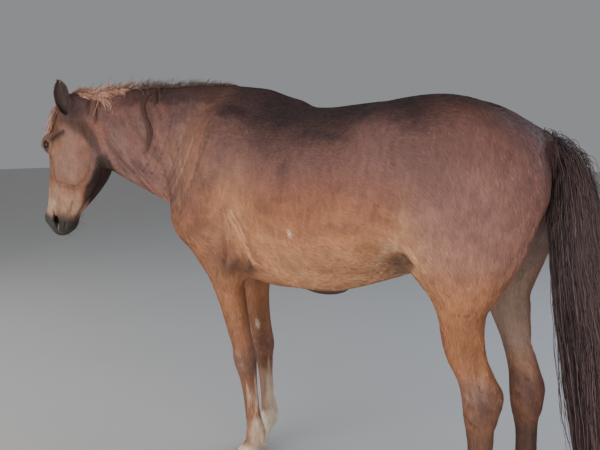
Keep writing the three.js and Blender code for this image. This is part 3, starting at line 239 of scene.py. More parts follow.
# ---------------------------------------------------------------- the body in numbers, metres, its own axes: facing -X, left side -Y
# trunk stations: along, top, bottom, half width, height of the widest, upper exponent, lower exponent
TRUNK = [[-.60,1.17,.99,.095,1.07,2,2],[-.55,1.30,.925,.135,1.08,2,2],[-.49,1.41,.865,.175,1.08,1.9,2],[-.40,1.475,.805,.198,1.09,1.7,2.1],
 [-.30,1.482,.782,.215,1.09,1.7,2.2],[-.20,1.460,.776,.240,1.08,1.8,2.2],[-.10,1.440,.782,.264,1.07,1.95,2.2],[0,1.434,.790,.280,1.06,2.1,2.2],
 [.10,1.440,.810,.284,1.07,2.2,2.2],[.20,1.446,.845,.276,1.10,2.2,2.1],[.30,1.447,.885,.262,1.15,2.1,2],[.40,1.445,.93,.25,1.19,2,2],
 [.50,1.425,.99,.232,1.21,2,2],[.58,1.385,1.03,.20,1.2,2,2],[.64,1.335,1.07,.155,1.19,2,2],[.69,1.25,1.12,.08,1.18,2,2]]
# chains of sections: x, y, z, half size along the up axis, half size across
WITHERS = [[-.66,0,1.44,.05,.03],[-.52,0,1.455,.055,.035],[-.40,0,1.462,.045,.035],[-.28,0,1.452,.04,.035],[-.16,0,1.42,.035,.03]]
NECK = [[-.42,0,1.20,.285,.145],[-.58,-.012,1.268,.262,.128],[-.70,-.048,1.300,.240,.114],[-.81,-.092,1.330,.213,.098],[-.92,-.14,1.360,.181,.083],[-1.01,-.18,1.383,.147,.069],[-1.08,-.208,1.392,.112,.058],[-1.12,-.225,1.392,.09,.052]]
BUTTOCK_NEAR = [[.635,-.075,1.29,.05,.05],[.642,-.10,1.19,.060,.062],[.602,-.12,1.08,.075,.07],[.550,-.135,.97,.070,.062],[.515,-.142,.88,.060,.052]]
BUTTOCK_FAR = [[.645,.075,1.29,.05,.05],[.660,.10,1.19,.060,.062],[.645,.12,1.08,.075,.07],[.612,.135,.97,.070,.062],[.585,.142,.88,.060,.052]]
FORE_NEAR = [[-.43,-.150,.96,.090,.070],[-.403,-.145,.87,.077,.064],[-.386,-.132,.79,.066,.056],[-.371,-.121,.71,.056,.049],[-.353,-.112,.61,.049,.042],[-.338,-.106,.54,.045,.0405],
 [-.330,-.104,.485,.0465,.044],[-.3215,-.101,.435,.039,.038],[-.310,-.100,.36,.0330,.0275],[-.299,-.099,.27,.0325,.027],[-.291,-.098,.225,.0365,.030],[-.287,-.098,.188,.042,.035],
 [-.302,-.098,.145,.0315,.030],[-.322,-.098,.108,.035,.036],[-.336,-.098,.082,.042,.043]]
FORE_FAR = [[-.43,.150,.96,.090,.070],[-.432,.145,.87,.084,.064],[-.440,.128,.79,.073,.056],[-.437,.108,.71,.065,.049],[-.409,.088,.61,.053,.042],[-.384,.076,.54,.0465,.0405],
 [-.368,.068,.485,.0465,.044],[-.363,.064,.435,.0385,.038],[-.355,.061,.36,.0315,.027],[-.344,.059,.27,.0310,.0265],[-.337,.058,.225,.0355,.030],[-.333,.058,.188,.041,.0345],
 [-.347,.058,.145,.0315,.030],[-.367,.058,.108,.035,.036],[-.381,.058,.082,.042,.043]]
HIND_NEAR = [[.540,-.135,1.02,.112,.085],[.512,-.145,.90,.088,.072],[.498,-.138,.80,.061,.056],[.504,-.125,.70,.049,.045],[.538,-.111,.62,.047,.040],[.559,-.106,.56,.053,.041],
 [.560,-.104,.50,.047,.037],[.568,-.103,.42,.040,.031],[.567,-.102,.33,.0335,.028],[.567,-.101,.26,.035,.029],[.567,-.10,.208,.043,.036],[.552,-.10,.155,.033,.032],[.532,-.10,.113,.037,.038],[.518,-.10,.085,.043,.044]]
HIND_FAR = [[.550,.135,1.02,.112,.085],[.556,.140,.90,.092,.072],[.578,.112,.80,.060,.054],[.611,.088,.70,.041,.042],[.642,.066,.62,.042,.039],[.656,.057,.56,.047,.041],
 [.661,.055,.50,.045,.037],[.669,.055,.42,.034,.030],[.673,.055,.33,.0335,.028],[.676,.055,.26,.035,.029],[.678,.055,.208,.043,.036],[.662,.055,.155,.033,.032],[.642,.055,.113,.037,.038],[.628,.055,.085,.043,.044]]
HEEL_NEAR = [[.541,-.135,.80,.027,.022],[.559,-.118,.70,.018,.016],[.574,-.112,.65,.017,.016],[.596,-.107,.602,.020,.018],[.606,-.106,.572,.023,.019],[.589,-.106,.50,.020,.017]]
HEEL_FAR = [[.621,.12,.80,.026,.022],[.645,.078,.70,.017,.016],[.661,.066,.65,.017,.016],[.677,.058,.60,.019,.018],[.690,.057,.562,.022,.019],[.682,.056,.50,.021,.017]]
DOCK = [[.56,0,1.35,.05,.05],[.64,0,1.315,.040,.042],[.70,0,1.29,.032,.034],[.735,0,1.24,.028,.03]]
TAIL = [[.655,0,1.325,.028,.030],[.71,0,1.30,.042,.042],[.742,0,1.24,.055,.050],[.760,0,1.14,.066,.056],[.785,0,1.00,.076,.062],[.815,0,.85,.086,.066],[.845,0,.68,.085,.066],[.868,0,.50,.075,.058],[.885,0,.34,.056,.046],[.895,0,.21,.028,.026]]
# head chains, in the head's own axes: down the face, across, out of the face
SKULL = [[.0,0,-.095,.050,.058],[.06,0,-.078,.062,.068],[.12,0,-.068,.071,.077],[.18,0,-.064,.069,.077],[.24,0,-.064,.063,.066],[.31,0,-.065,.057,.054],[.39,0,-.066,.055,.047],[.46,0,-.070,.052,.044],[.505,0,-.078,.046,.044],[.535,0,-.088,.034,.040]]
JAW = [[.06,.050,-.13,.05,.028],[.12,.053,-.15,.055,.030],[.18,.052,-.175,.070,.030],[.24,.047,-.180,.072,.028],[.30,.040,-.170,.065,.025],[.36,.032,-.155,.054,.022],[.42,.023,-.135,.040,.022],[.47,.014,-.118,.032,.024],[.51,.008,-.112,.026,.024]]
CHEEK_BONE = [[.14,.076,-.058,.014,.014],[.20,.080,-.070,.013,.012],[.27,.063,-.078,.012,.011],[.33,.050,-.080,.011,.010]]
EAR_NEAR = [[.085,.06,-.105,.022,.02],[.06,.065,-.1,.03,.026],[.035,.071,-.09,.035,.028],[.013,.076,-.078,.037,.026],[-.008,.08,-.068,.0365,.023],[-.032,.083,-.059,.0345,.019],[-.057,.084,-.052,.03,.015],[-.076,.085,-.044,.0195,.01],[-.085,.085,-.038,.007,.005]]
EAR_FAR = [[.085,-.06,-.105,.022,.02],[.06,-.065,-.1,.03,.026],[.0377,-.0726,-.0931,.035,.028],[.0191,-.0796,-.0851,.037,.026],[.002,-.0858,-.0797,.0365,.023],[-.018,-.0912,-.0753,.0345,.019],[-.0391,-.0944,-.0729,.03,.015],[-.0547,-.0974,-.0689,.0195,.01],[-.061,-.099,-.066,.007,.005]]
HEAD_TURN = 27
HEAD_LEAN = 11
HEAD_AT = [-1.2015,-.2573,1.4884]
HEAD = [["tube",SKULL,[0,0,1],.02,"n"],["tube",JAW,[0,0,1],.045,"m"],["ell",[.23,0,-.150],[.16,.045,.065],[0,0,0],.03,"n"],
 ["ell",[.205,.060,-.150],[.120,.028,.080],[0,8,0],.05,"m"],["ell",[.174,.078,-.030],[.036,.022,.026],[0,0,0],.045,"m"],["tube",CHEEK_BONE,[0,0,1],.03,"m"],
 ["ell",[.485,.036,-.055],[.040,.020,.032],[0,0,0],.03,"m"],["ell",[.522,0,-.085],[.032,.043,.034],[0,0,0],.03,"n"],["ell",[.498,0,-.126],[.030,.033,.022],[0,0,0],.03,"n"],
 ["ell",[.03,.042,-.10],[.06,.035,.05],[0,0,0],.05,"m"],["tube",EAR_NEAR,[0,0,1],.022,"n"],["tube",EAR_FAR,[0,0,1],.022,"n"]]
BODY = [["loft",TRUNK,.02,"m"],["tube",WITHERS,[0,0,1],.07,"n"],["ell",[.40,.115,1.29],[.23,.12,.15],[0,0,0],.08,"m"],["ell",[.29,.185,1.33],[.07,.035,.05],[0,30,0],.10,"m"],
 ["ell",[.512,.125,1.11],[.156,.105,.245],[0,6,0],.085,"m"],["tube",BUTTOCK_NEAR,[1,0,0],.07,"n"],["tube",BUTTOCK_FAR,[1,0,0],.07,"n"],
 ["ell",[.442,.155,1.06],[.078,.075,.17],[0,10,0],.08,"m"],["ell",[.460,.17,.95],[.045,.045,.06],[0,0,0],.05,"m"],
 ["ell",[-.49,.115,1.19],[.120,.06,.25],[0,26,0],.11,"m"],["ell",[-.565,.135,1.045],[.055,.055,.085],[0,0,0],.08,"m"],["ell",[-.46,.145,.985],[.15,.062,.10],[0,20,0],.07,"m"],
 ["ell",[-.585,.055,1.03],[.06,.06,.09],[0,0,0],.06,"m"],["ell",[-.44,.10,.885],[.10,.06,.055],[0,0,0],.07,"m"],["tube",NECK,[0,0,1],.10,"n"],
 ["tube",FORE_NEAR,[1,0,0],.05,"n"],["tube",FORE_FAR,[1,0,0],.05,"n"],["tube",HIND_NEAR,[1,0,0],.05,"n"],["tube",HIND_FAR,[1,0,0],.05,"n"],["tube",HEEL_NEAR,[1,0,0],.035,"n"],["tube",HEEL_FAR,[1,0,0],.035,"n"],
 ["head",.045],["ell",[-.03,0,.797],[.085,.03,.034],[0,-4,0],.04,"n"],["tube",DOCK,[1,0,0],.05,"n"]]
TAIL_STEPS = [["tube",TAIL,[1,0,0],.04,"n"]]
MANE_RUN = [[-.46,.035,1.49,.030,.040],[-.60,.035,1.495,.045,.052],[-.74,-.01,1.495,.055,.055],[-.86,-.06,1.495,.060,.056],[-.97,-.11,1.485,.060,.055],[-1.06,-.15,1.475,.055,.050],[-1.12,-.185,1.475,.040,.045]]
MANE_STEPS = [["tube",MANE_RUN,[0,0,1],.02,"n"]]
LOCK_RUN = [[-.035,0,-.075,.035,.035],[.02,0,-.035,.030,.040],[.07,0,-.010,.025,.040],[.12,.004,.0,.02,.03],[.155,.006,.005,.015,.018]]
LOCK_STEPS = [["tube",LOCK_RUN,[0,0,1],.02,"n"]]

# what the skin adds to the solids, in the head's own axes: ear hollows, lids, nostrils, mouth, veins and hollows
def hollow(rows, s):
    """the scooped inside of an ear, narrower than the ear and open to its own side; it runs out to a point at both ends"""
    part = [.30, .62, .78, .79, .74, .42]
    return [[x, y + s * .66 * b, z - .06 * b, max(.95 * b * f ** .35, .004), f * a] for (x, y, z, a, b), f in zip(rows[2:-1], part)]


EAR_HOLLOW, EAR_HOLLOW_FAR = hollow(EAR_NEAR, 1), hollow(EAR_FAR, -1)
NOSTRIL = [[.454, .055, -.073, .004, .0022], [.472, .056, -.078, .008, .0034], [.491, .055, -.083, .010, .0044], [.509, .052, -.088, .009, .0042], [.523, .048, -.091, .004, .0024]]
NOSTRIL_IN = [[.498, .043, -.084, .009, .006], [.480, .030, -.078, .008, .007]]
HEAD_SKIN = HEAD + [
 ["ell", [EYE_AT[0], EYE_AT[1] - .001, EYE_AT[2]], [.0250, .0246, .0240], [0, 0, 0], .014, "m"],
 ["bump", [.118, .062, -.028], [.032, .030, .026], [0, 0, 0], -.006, "m"], ["bump", [.33, .052, -.050], [.10, .030, .022], [0, 0, 0], -.0035, "m"],
 ["ridge", [[.150, .102, -.052, .009], [.134, .098, -.062, .014], [.120, .093, -.074, .015], [.110, .092, -.090, .010]], -.0075, "m"],
 ["ridge", [[.148, .088, -.018, .010], [.160, .096, -.006, .011], [.178, .097, .0, .011], [.196, .092, -.004, .010]], .0035, "m"],
 ["ridge", [[.152, .090, -.034, .004], [.164, .101, -.0175, .0045], [.180, .103, -.0135, .0045], [.194, .098, -.017, .004]], -.0022, "m"],
 ["ridge", [[.156, .098, -.060, .008], [.166, .102, -.052, .008], [.184, .102, -.052, .008], [.204, .094, -.044, .008]], .0022, "m"],
 ["ridge", [[.166, .100, -.047, .005], [.182, .101, -.048, .005], [.198, .095, -.040, .005]], -.0018, "m"],
 ["ridge", [[.200, .090, -.066, .011], [.235, .078, -.066, .011], [.27, .068, -.068, .011], [.32, .056, -.072, .010]], .0040, "m"],
 ["bump", [.215, .085, -.135], [.105, .040, .075], [0, 0, 0], .0050, "m"],
 ["ridge", [[.075, .092, -.172, .016], [.127, .094, -.203, .016], [.173, .091, -.224, .016], [.231, .087, -.226, .016], [.285, .080, -.210, .015], [.322, .073, -.182, .014]], -.0060, "m"],
 ["ridge", [[.322, .073, -.182, .014], [.334, .070, -.150, .013], [.337, .064, -.110, .012], [.330, .060, -.080, .011]], -.0040, "m"],
 ["ridge", [[.245, .078, -.135, .007], [.30, .066, -.110, .006], [.36, .054, -.095, .006], [.42, .050, -.082, .005]], .0018, "m"],
 ["ridge", [[.30, .066, -.110, .006], [.33, .052, -.075, .005], [.37, .044, -.055, .005]], .0014, "m"],
 ["ridge", [[.350, .060, -.150, .009], [.39, .052, -.140, .009], [.43, .046, -.128, .008], [.462, .046, -.120, .007]], .0025, "m"],
 ["ridge", [[.405, .050, -.100, .006], [.425, .050, -.108, .006], [.448, .050, -.108, .006]], -.0022, "m"],
 ["ridge", [[.415, .049, -.122, .005], [.435, .048, -.127, .006], [.458, .046, -.128, .005]], -.0028, "m"],
 ["ridge", [[.462, .057, -.089, .006], [.476, .058, -.092, .008], [.494, .057, -.096, .009], [.512, .054, -.098, .009], [.527, .048, -.098, .007]], .0040, "m"],
 ["ridge", [[.458, .052, -.066, .009], [.478, .053, -.068, .010], [.500, .049, -.072, .010], [.520, .043, -.080, .009]], .0026, "m"],
 ["ridge", [[.448, .056, -.075, .007], [.462, .058, -.082, .007], [.466, .057, -.092, .006]], .0020, "m"],
 ["cutube", NOSTRIL, [0, 1, 0], .005, "m"], ["cutube", NOSTRIL_IN, [0, 1, 0], .004, "m"],
 ["ridge", [[.556, -.002, -.094, .014], [.547, .022, -.097, .014], [.528, .038, -.106, .013], [.500, .047, -.115, .011]], .0028, "m"],
 ["ridge", [[.555, -.002, -.108, .006], [.546, .020, -.109, .006], [.524, .035, -.116, .005], [.500, .043, -.123, .004], [.478, .046, -.130, .003]], -.0048, "m"],
 ["ridge", [[.540, -.002, -.124, .012], [.530, .020, -.126, .012], [.508, .034, -.132, .011]], .003, "m"],
 ["cutube", EAR_HOLLOW, [0, 1, 0], .003, "n"], ["cutube", EAR_HOLLOW_FAR, [0, 1, 0], .003, "n"],
 ["cut", [EYE_AT[0] + .001, EYE_AT[1] + .031, EYE_AT[2]], [.0178, .030, .0088], [0, -20, 0], .004, "m"]]
# and over the body: tendons, bones, creases (side "m" on both sides, "n" where it stands)
BODY_SKIN = [
 ["ridge", [[-.40, .150, 1.40, .035], [-.44, .170, 1.28, .035], [-.49, .170, 1.16, .035], [-.54, .150, 1.06, .04]], .006, "m"],
 ["ridge", [[-.33, .165, 1.38, .030], [-.36, .195, 1.25, .035], [-.40, .200, 1.12, .035]], -.005, "m"],
 ["ridge", [[-.345, .19, 1.08, .025], [-.33, .20, 1.00, .028], [-.335, .19, .92, .025], [-.36, .175, .86, .02]], -.009, "m"],
 ["ridge", [[-.41, .20, 1.06, .03], [-.47, .20, 1.01, .03], [-.53, .17, .97, .03]], -.004, "m"],
 ["ridge", [[.29, .25, 1.12, .03], [.325, .245, 1.03, .03], [.33, .235, .95, .025], [.31, .20, .89, .02]], -.008, "m"],
 ["ridge", [[.33, .215, 1.37, .022], [.335, .245, 1.28, .025], [.34, .25, 1.18, .025]], -.0045, "m"],
 ["ridge", [[.60, .165, 1.28, .03], [.585, .195, 1.14, .03], [.56, .195, 1.02, .03], [.535, .185, .92, .025]], -.006, "m"],
 ["ridge", [[.50, .225, 1.24, .03], [.47, .235, 1.10, .03], [.455, .215, .98, .03]], -.0045, "m"],
 ["bump", [.475, .165, .86], [.06, .06, .09], [0, 0, 0], .006, "m"], ["bump", [.345, .200, .965], [.050, .07, .034], [0, 28, 0], -.014, "m"], ["ridge", [[.352, .225, 1.010, .014], [.376, .225, .975, .014], [.398, .225, .935, .014]], .005, "m"], ["bump", [-.268, .18, .898], [.030, .05, .050], [0, 0, 0], -.008, "m"],
]
def fold(rows, w, amount, both=True):
    """a crease or a roll of skin on the left side, and the same mirrored in the neck's bent middle line on the right"""
    mid = lambda x: float(np.interp(x, [r[0] for r in NECK[::-1]], [r[1] for r in NECK[::-1]])) if x < -.42 else 0.0
    out = [["ridge", [[x, y, z, w] for x, y, z in rows], amount, "n"]]
    return out + ([["ridge", [[x, 2 * mid(x) - y, z, w] for x, y, z in rows], amount, "n"]] if both else [])


F1 = [(-.549, -.214, 1.054), (-.521, -.203, 1.127), (-.483, -.202, 1.195), (-.444, -.193, 1.294), (-.406, -.167, 1.394)]
F2 = [(-.700, -.135, 1.130), (-.633, -.162, 1.224), (-.587, -.151, 1.329), (-.570, -.128, 1.400)]
F2B = [(-.640, -.165, 1.090), (-.576, -.183, 1.172), (-.529, -.184, 1.256), (-.500, -.175, 1.330)]
F3 = [(-.764, -.159, 1.173), (-.697, -.162, 1.254), (-.667, -.156, 1.324), (-.656, -.142, 1.394)]
F3B = [(-.812, -.168, 1.180), (-.745, -.172, 1.246), (-.707, -.166, 1.316), (-.698, -.156, 1.379)]
F4A = [(-.928, -.228, 1.357), (-.889, -.213, 1.297), (-.848, -.195, 1.245), (-.820, -.175, 1.196), (-.792, -.151, 1.147)]
F4B = [(-.946, -.231, 1.317), (-.907, -.211, 1.260), (-.866, -.187, 1.208), (-.835, -.159, 1.158)]
F4C = [(-.901, -.220, 1.349), (-.864, -.206, 1.289), (-.834, -.190, 1.237), (-.798, -.169, 1.188)]
E1 = [(-.282, -.218, 1.058), (-.242, -.225, 1.013), (-.225, -.219, .960), (-.217, -.202, .909)]
E2 = [(-.348, -.205, 1.081), (-.294, -.215, 1.042), (-.256, -.218, .996), (-.250, -.205, .938)]
E3 = [(-.419, -.208, 1.179), (-.367, -.209, 1.123), (-.319, -.212, 1.083)]
L1 = [(.306, -.245, 1.085), (.328, -.237, 1.045), (.352, -.242, 1.019), (.391, -.245, .977)]
L2 = [(.323, -.225, 1.395), (.309, -.246, 1.361), (.294, -.258, 1.317), (.287, -.261, 1.273)]
L3 = [(.353, -.240, 1.366), (.337, -.254, 1.333), (.317, -.262, 1.290), (.307, -.262, 1.234)]
GK = [(.499, -.208, .829), (.530, -.200, .826), (.560, -.189, .837)]
F5A = [(-.470, -.160, 1.420), (-.500, -.178, 1.335), (-.545, -.190, 1.230), (-.590, -.180, 1.140)]
F5B = [(-.430, -.150, 1.425), (-.455, -.180, 1.330), (-.475, -.200, 1.240), (-.505, -.207, 1.150)]
CREASES = [(F1, .017, -.0060), (F2, .013, -.0055), (F2B, .013, -.0055), (F3, .012, -.0045), (F3B, .011, -.0035), (F4A, .010, -.0072), (F4B, .010, -.0066), (F4C, .010, -.0062), (F5A, .011, -.0040), (F5B, .012, -.0040), (E1, .013, -.0060), (E2, .011, -.0045), (E3, .012, -.0035), (L1, .013, -.0055), (L2, .008, -.0028), (L3, .010, -.0022), (GK, .010, -.0048)]
for rows, w, amount in CREASES: BODY_SKIN += fold(rows, w, amount)
for i in range(3):     # small rolls of skin between the creases before the shoulder
    BODY_SKIN += fold([(a[0] * .5 + b[0] * .5 + .006 * i, a[1] * .5 + b[1] * .5 - .004, a[2] * .5 + b[2] * .5) for a, b in zip(F2[:4], (F2B, F3, F3B)[i])], .014, .0034)
for x0 in (-.15, -.08, -.01, .06, .13):
    BODY_SKIN.append(["ridge", [[x0, .22, 1.28, .022], [x0 + .05, .262, 1.14, .024], [x0 + .085, .27, 1.02, .024], [x0 + .10, .25, .93, .022]], .0016, "m"])
for f, xs, y0 in (("FORE_NEAR", FORE_NEAR, -.098), ("FORE_FAR", FORE_FAR, .058)):
    kx, cx = xs[6][0], xs[8][0]; ky, s = xs[6][1], (-1 if y0 < 0 else 1)
    BODY_SKIN += [
     ["bump", [kx - .040, ky, .485], [.020, .030, .036], [0, 0, 0], .005, "n"], ["bump", [kx + .034, ky, .505], [.020, .022, .026], [0, 0, 0], .006, "n"],
     ["ridge", [[cx + .006, ky + s * .028, .43, .009], [cx + .014, ky + s * .027, .33, .009], [cx + .024, ky + s * .027, .235, .009]], -.0028, "n"],
     ["ridge", [[cx + .006, ky - s * .028, .43, .009], [cx + .014, ky - s * .027, .33, .009], [cx + .024, ky - s * .027, .235, .009]], -.0028, "n"],
     ["bump", [xs[5][0] + .006, xs[5][1] - s * .046, .580], [.010, .010, .022], [0, 0, 0], .0035, "n"],
     ["ridge", [[cx + .034, ky, .42, .016], [cx + .040, ky, .33, .016], [cx + .048, ky, .24, .016]], .0045, "n"],
     ["bump", [xs[11][0] + .034, xs[11][1], .178], [.018, .020, .022], [0, 0, 0], .005, "n"], ["bump", [xs[11][0] - .010, xs[11][1] - .032, .19], [.022, .012, .020], [0, 0, 0], .003, "n"], ["bump", [xs[11][0] - .010, xs[11][1] + .032, .19], [.022, .012, .020], [0, 0, 0], .003, "n"]]
for xs in (HIND_NEAR, HIND_FAR):
    hx, hy, cx = xs[5][0], xs[5][1], xs[7][0]
    BODY_SKIN += [
     ["bump", [hx + .010, hy - .034, .585], [.030, .014, .030], [0, 0, 0], .004, "n"], ["bump", [hx - .012, hy + .036, .57], [.030, .014, .030], [0, 0, 0], .005, "n"],
     ["ridge", [[hx + .000, hy - .03, .70, .013], [hx + .010, hy - .034, .64, .015], [hx + .014, hy - .030, .60, .013]], -.008, "n"], ["ridge", [[hx - .030, hy - .030, .53, .014], [hx - .012, hy - .036, .50, .016], [hx + .012, hy - .034, .49, .013]], .004, "n"], ["ridge", [[hx + .006, hy + .026, .70, .014], [hx + .018, hy + .030, .64, .016], [hx + .016, hy + .026, .60, .014]], -.006, "n"],
     ["ridge", [[cx + .004, hy - .028, .47, .010], [cx + .008, hy - .027, .36, .010], [cx + .012, hy - .027, .25, .010]], -.0040, "n"], ["ridge", [[cx + .004, hy + .028, .47, .010], [cx + .008, hy + .027, .36, .010], [cx + .012, hy + .027, .25, .010]], -.0040, "n"],
     ["bump", [xs[10][0] + .036, xs[10][1], .198], [.018, .020, .022], [0, 0, 0], .005, "n"]]

_a, _b = np.radians(HEAD_TURN), np.radians(HEAD_LEAN); _f = np.array([-np.cos(_a), -np.sin(_a), 0]); _d = np.array([0, 0, -1.0])
xh = np.sin(_b) * _f + np.cos(_b) * _d; zh = np.cos(_b) * _f - np.sin(_b) * _d; yh=np.cross(zh,xh); MH=np.stack([xh,yh,zh]); OH=np.array(HEAD_AT)
class HeadF:
    def __init__(s,steps):
        s.steps=steps; lo=np.min([x[1].lo for x in steps if x[0]=='u'],0); hi=np.max([x[1].hi for x in steps if x[0]=='u'],0); m=max(abs(lo[1]),hi[1]); lo[1],hi[1]=-m,m
        c=np.array([[x,y,z] for x in (lo[0],hi[0]) for y in (lo[1],hi[1]) for z in (lo[2],hi[2])]); w=c@MH+OH; s.lo=w.min(0); s.hi=w.max(0)
    def __call__(s,P): return evalf(s.steps,(P-OH)@MH.T)
def build(L, head=()):
    out=[]
    for s in L:
        k=s[0]
        if k=='loft': out.append(('u',Loft(s[1]),s[2],s[3]))
        elif k=='tube': out.append(('u',Tube(s[1],s[2]),s[3],s[4]))
        elif k=='ell': out.append(('u',Ell(s[1],s[2],s[3]),s[4],s[5]))
        elif k=='cut': out.append(('s',Ell(s[1],s[2],s[3]),s[4],s[5]))
        elif k=='cutube': out.append(('s',Tube(s[1],s[2]),s[3],s[4]))
        elif k=='bump': out.append(('b',Bump(s[1],s[2],s[3]),s[4],s[5]))
        elif k=='ridge': out.append(('b',Ridge(s[1]),s[2],s[3]))
        elif k=='head': out.append(('u',HeadF(build(head or HEAD)),s[1],'n'))
        else: raise 1
    return out

# ---------------------------------------------------------------- the skin's mesh
def smooth(a, b, x):
    t = np.clip((x - a) / (b - a), 0, 1)
    return t * t * (3 - 2 * t)


def vnoise(P, freq, seed=0):
    """smooth value noise in 0..1"""
    Q = P * freq; I = np.floor(Q).astype(np.int64); f = Q - I; f = f * f * (3 - 2 * f); out = 0
    for dx in (0, 1):
        for dy in (0, 1):
            for dz in (0, 1):
                h = ((I[:, 0] + dx) * 73856093) ^ ((I[:, 1] + dy) * 19349663) ^ ((I[:, 2] + dz) * 83492791) ^ (seed * 2654435761)
                h = (h ^ (h >> 13)) * 1274126177 & 0xFFFFFFFF; v = ((h ^ (h >> 16)) & 0xFFFF) / 65535.0
                out = out + v * (f[:, 0] if dx else 1 - f[:, 0]) * (f[:, 1] if dy else 1 - f[:, 1]) * (f[:, 2] if dz else 1 - f[:, 2])
    return out


def fbm(P, freq, seed=0, n=3):
    return sum(vnoise(P, freq * 2 ** i, seed + i) / 2 ** i for i in range(n)) / sum(.5 ** i for i in range(n))


def to_head(P):
    return (P - OH) @ MH.T


def from_head(P):
    return np.asarray(P, float) @ MH + OH


def cells(P, size):
    """indices of the points, grouped by cube"""
    K = np.floor(P / size).astype(np.int64); K -= K.min(0); k = (K[:, 0] * 4096 + K[:, 1]) * 4096 + K[:, 2]
    o = np.argsort(k, kind="stable"); return np.split(o, np.nonzero(np.diff(k[o]))[0] + 1)


def values(steps, P, size=.09):
    d = np.empty(len(P))
    for g in cells(P, size):
        d[g] = evalf(steps, P[g])
    return d


def values_grad(steps, P, e=.0012, size=.09):
    """the field and its slope, from four nearby points each"""
    K = np.array([[1, -1, -1], [-1, -1, 1], [-1, 1, -1], [1, 1, 1.0]]); d = np.empty(len(P)); g = np.empty((len(P), 3))
    for c in cells(P, size):
        v = evalf(steps, (P[c][None] + K[:, None] * e).reshape(-1, 3)).reshape(4, -1)
        d[c] = v.mean(0); g[c] = (v[:, :, None] * K[:, None]).sum(0) / (4 * e)
    return d, g


def triangles(V, Q):
    a = np.linalg.norm(V[Q[:, 0]] - V[Q[:, 2]], axis=1) <= np.linalg.norm(V[Q[:, 1]] - V[Q[:, 3]], axis=1)
    A, B = Q[a], Q[~a]
    return np.concatenate([A[:, [0, 1, 2]], A[:, [0, 2, 3]], B[:, [0, 1, 3]], B[:, [1, 2, 3]]])


def tidy(V, T):
    u = np.zeros(len(V), bool); u[T] = True; m = np.cumsum(u) - 1
    return V[u], m[T]


def edges_of(T, n):
    E = np.sort(T[:, [0, 1, 1, 2, 2, 0]].reshape(-1, 2), 1); k, inv, cnt = np.unique(E[:, 0] * n + E[:, 1], return_inverse=True, return_counts=True)
    return np.stack([k // n, k % n], 1), inv.reshape(-1, 3), cnt


def refine(V, T, mark):
    """splits the marked triangles in four, and their neighbours so that no gap opens"""
    U, inv, _ = edges_of(T, len(V)); split = np.zeros(len(U), bool); split[inv[mark].ravel()] = True
    while True:
        m = split[inv].sum(1) == 2
        if not m.any(): break
        split[inv[m].ravel()] = True
    mid = np.full(len(U), -1); mid[split] = len(V) + np.arange(split.sum()); V = np.vstack([V, (V[U[split, 0]] + V[U[split, 1]]) / 2]); n = split[inv].sum(1)
    a, b, c = T[n == 3].T; x, y, z = mid[inv[n == 3]].T; out = [T[n == 0]] + [np.stack(s, 1) for s in ((a, x, z), (x, b, y), (z, y, c), (x, y, z))]
    m = n == 1; t, e = T[m], inv[m]; k = np.argmax(split[e], 1)[:, None]; t = np.take_along_axis(t, (k + np.arange(3)) % 3, 1); q = mid[np.take_along_axis(e, k, 1)[:, 0]]
    return V, np.concatenate(out + [np.stack([t[:, 0], q, t[:, 2]], 1), np.stack([q, t[:, 1], t[:, 2]], 1)])


def relax(V, T, amount=.5, only=None, N=None):
    """moves each vertex towards the middle of its neighbours, along the surface only if normals are given"""
    E = T[:, [0, 1, 1, 2, 2, 0]].reshape(-1, 2); s = np.zeros_like(V); w = np.zeros(len(V))
    for a, b in ((0, 1), (1, 0)):
        for k in range(3): s[:, k] += np.bincount(E[:, a], V[E[:, b], k], len(V))
        w += np.bincount(E[:, a], minlength=len(V))
    d = s / np.maximum(w, 1)[:, None] - V
    if N is not None: d -= N * (d * N).sum(1)[:, None]
    d[w == 0] = 0
    if only is not None: d[~only] = 0
    return V + d * amount


def normals_of(V, T):
    F = np.cross(V[T[:, 1]] - V[T[:, 0]], V[T[:, 2]] - V[T[:, 0]]); N = np.zeros_like(V)
    for j in range(3):
        for k in range(3): N[:, k] += np.bincount(T[:, j], F[:, k], len(V))
    return N / (np.linalg.norm(N, axis=1)[:, None] + 1e-12)


def open_loop(T, n, near):
    """the open edge's vertices in order, among those near the cut"""
    D = T[:, [0, 1, 1, 2, 2, 0]].reshape(-1, 2); U, inv, cnt = edges_of(T, n); D = D[cnt[inv.ravel()] == 1]; D = D[near[D].all(1)]
    nxt = dict(map(tuple, D)); best = []
    left = set(nxt)
    while left:
        s = left.pop(); run = [s]; v = nxt[s]
        while v != s and v in left: left.discard(v); run.append(v); v = nxt[v]
        if len(run) > len(best): best = run
    return np.array(best)


def zipper(VA, A, VB, B, c, u, v, offA, offB):
    """triangles between two open loops round the centre c"""
    def order(V, L):
        a = np.unwrap(np.arctan2((V[L] - c) @ v, (V[L] - c) @ u))
        if a[-1] < a[0]: L, a = L[::-1], a[::-1]
        i = int(np.argmin(np.mod(a, 2 * np.pi))); L = np.roll(L, -i); a = np.unwrap(np.arctan2((V[L] - c) @ v, (V[L] - c) @ u)); a -= 2 * np.pi * np.floor(a[0] / (2 * np.pi))
        return L, np.maximum.accumulate(a)
    A, a = order(VA, A); B, b = order(VB, B); A = np.append(A, A[0]); a = np.append(a, a[0] + 2 * np.pi); B = np.append(B, B[0]); b = np.append(b, b[0] + 2 * np.pi); i = j = 0; out = []
    while i < len(A) - 1 or j < len(B) - 1:
        if j == len(B) - 1 or (i < len(A) - 1 and a[i + 1] <= b[j + 1]): out.append((A[i] + offA, A[i + 1] + offA, B[j] + offB)); i += 1
        else: out.append((A[i] + offA, B[j + 1] + offB, B[j] + offB)); j += 1
    return np.array(out)


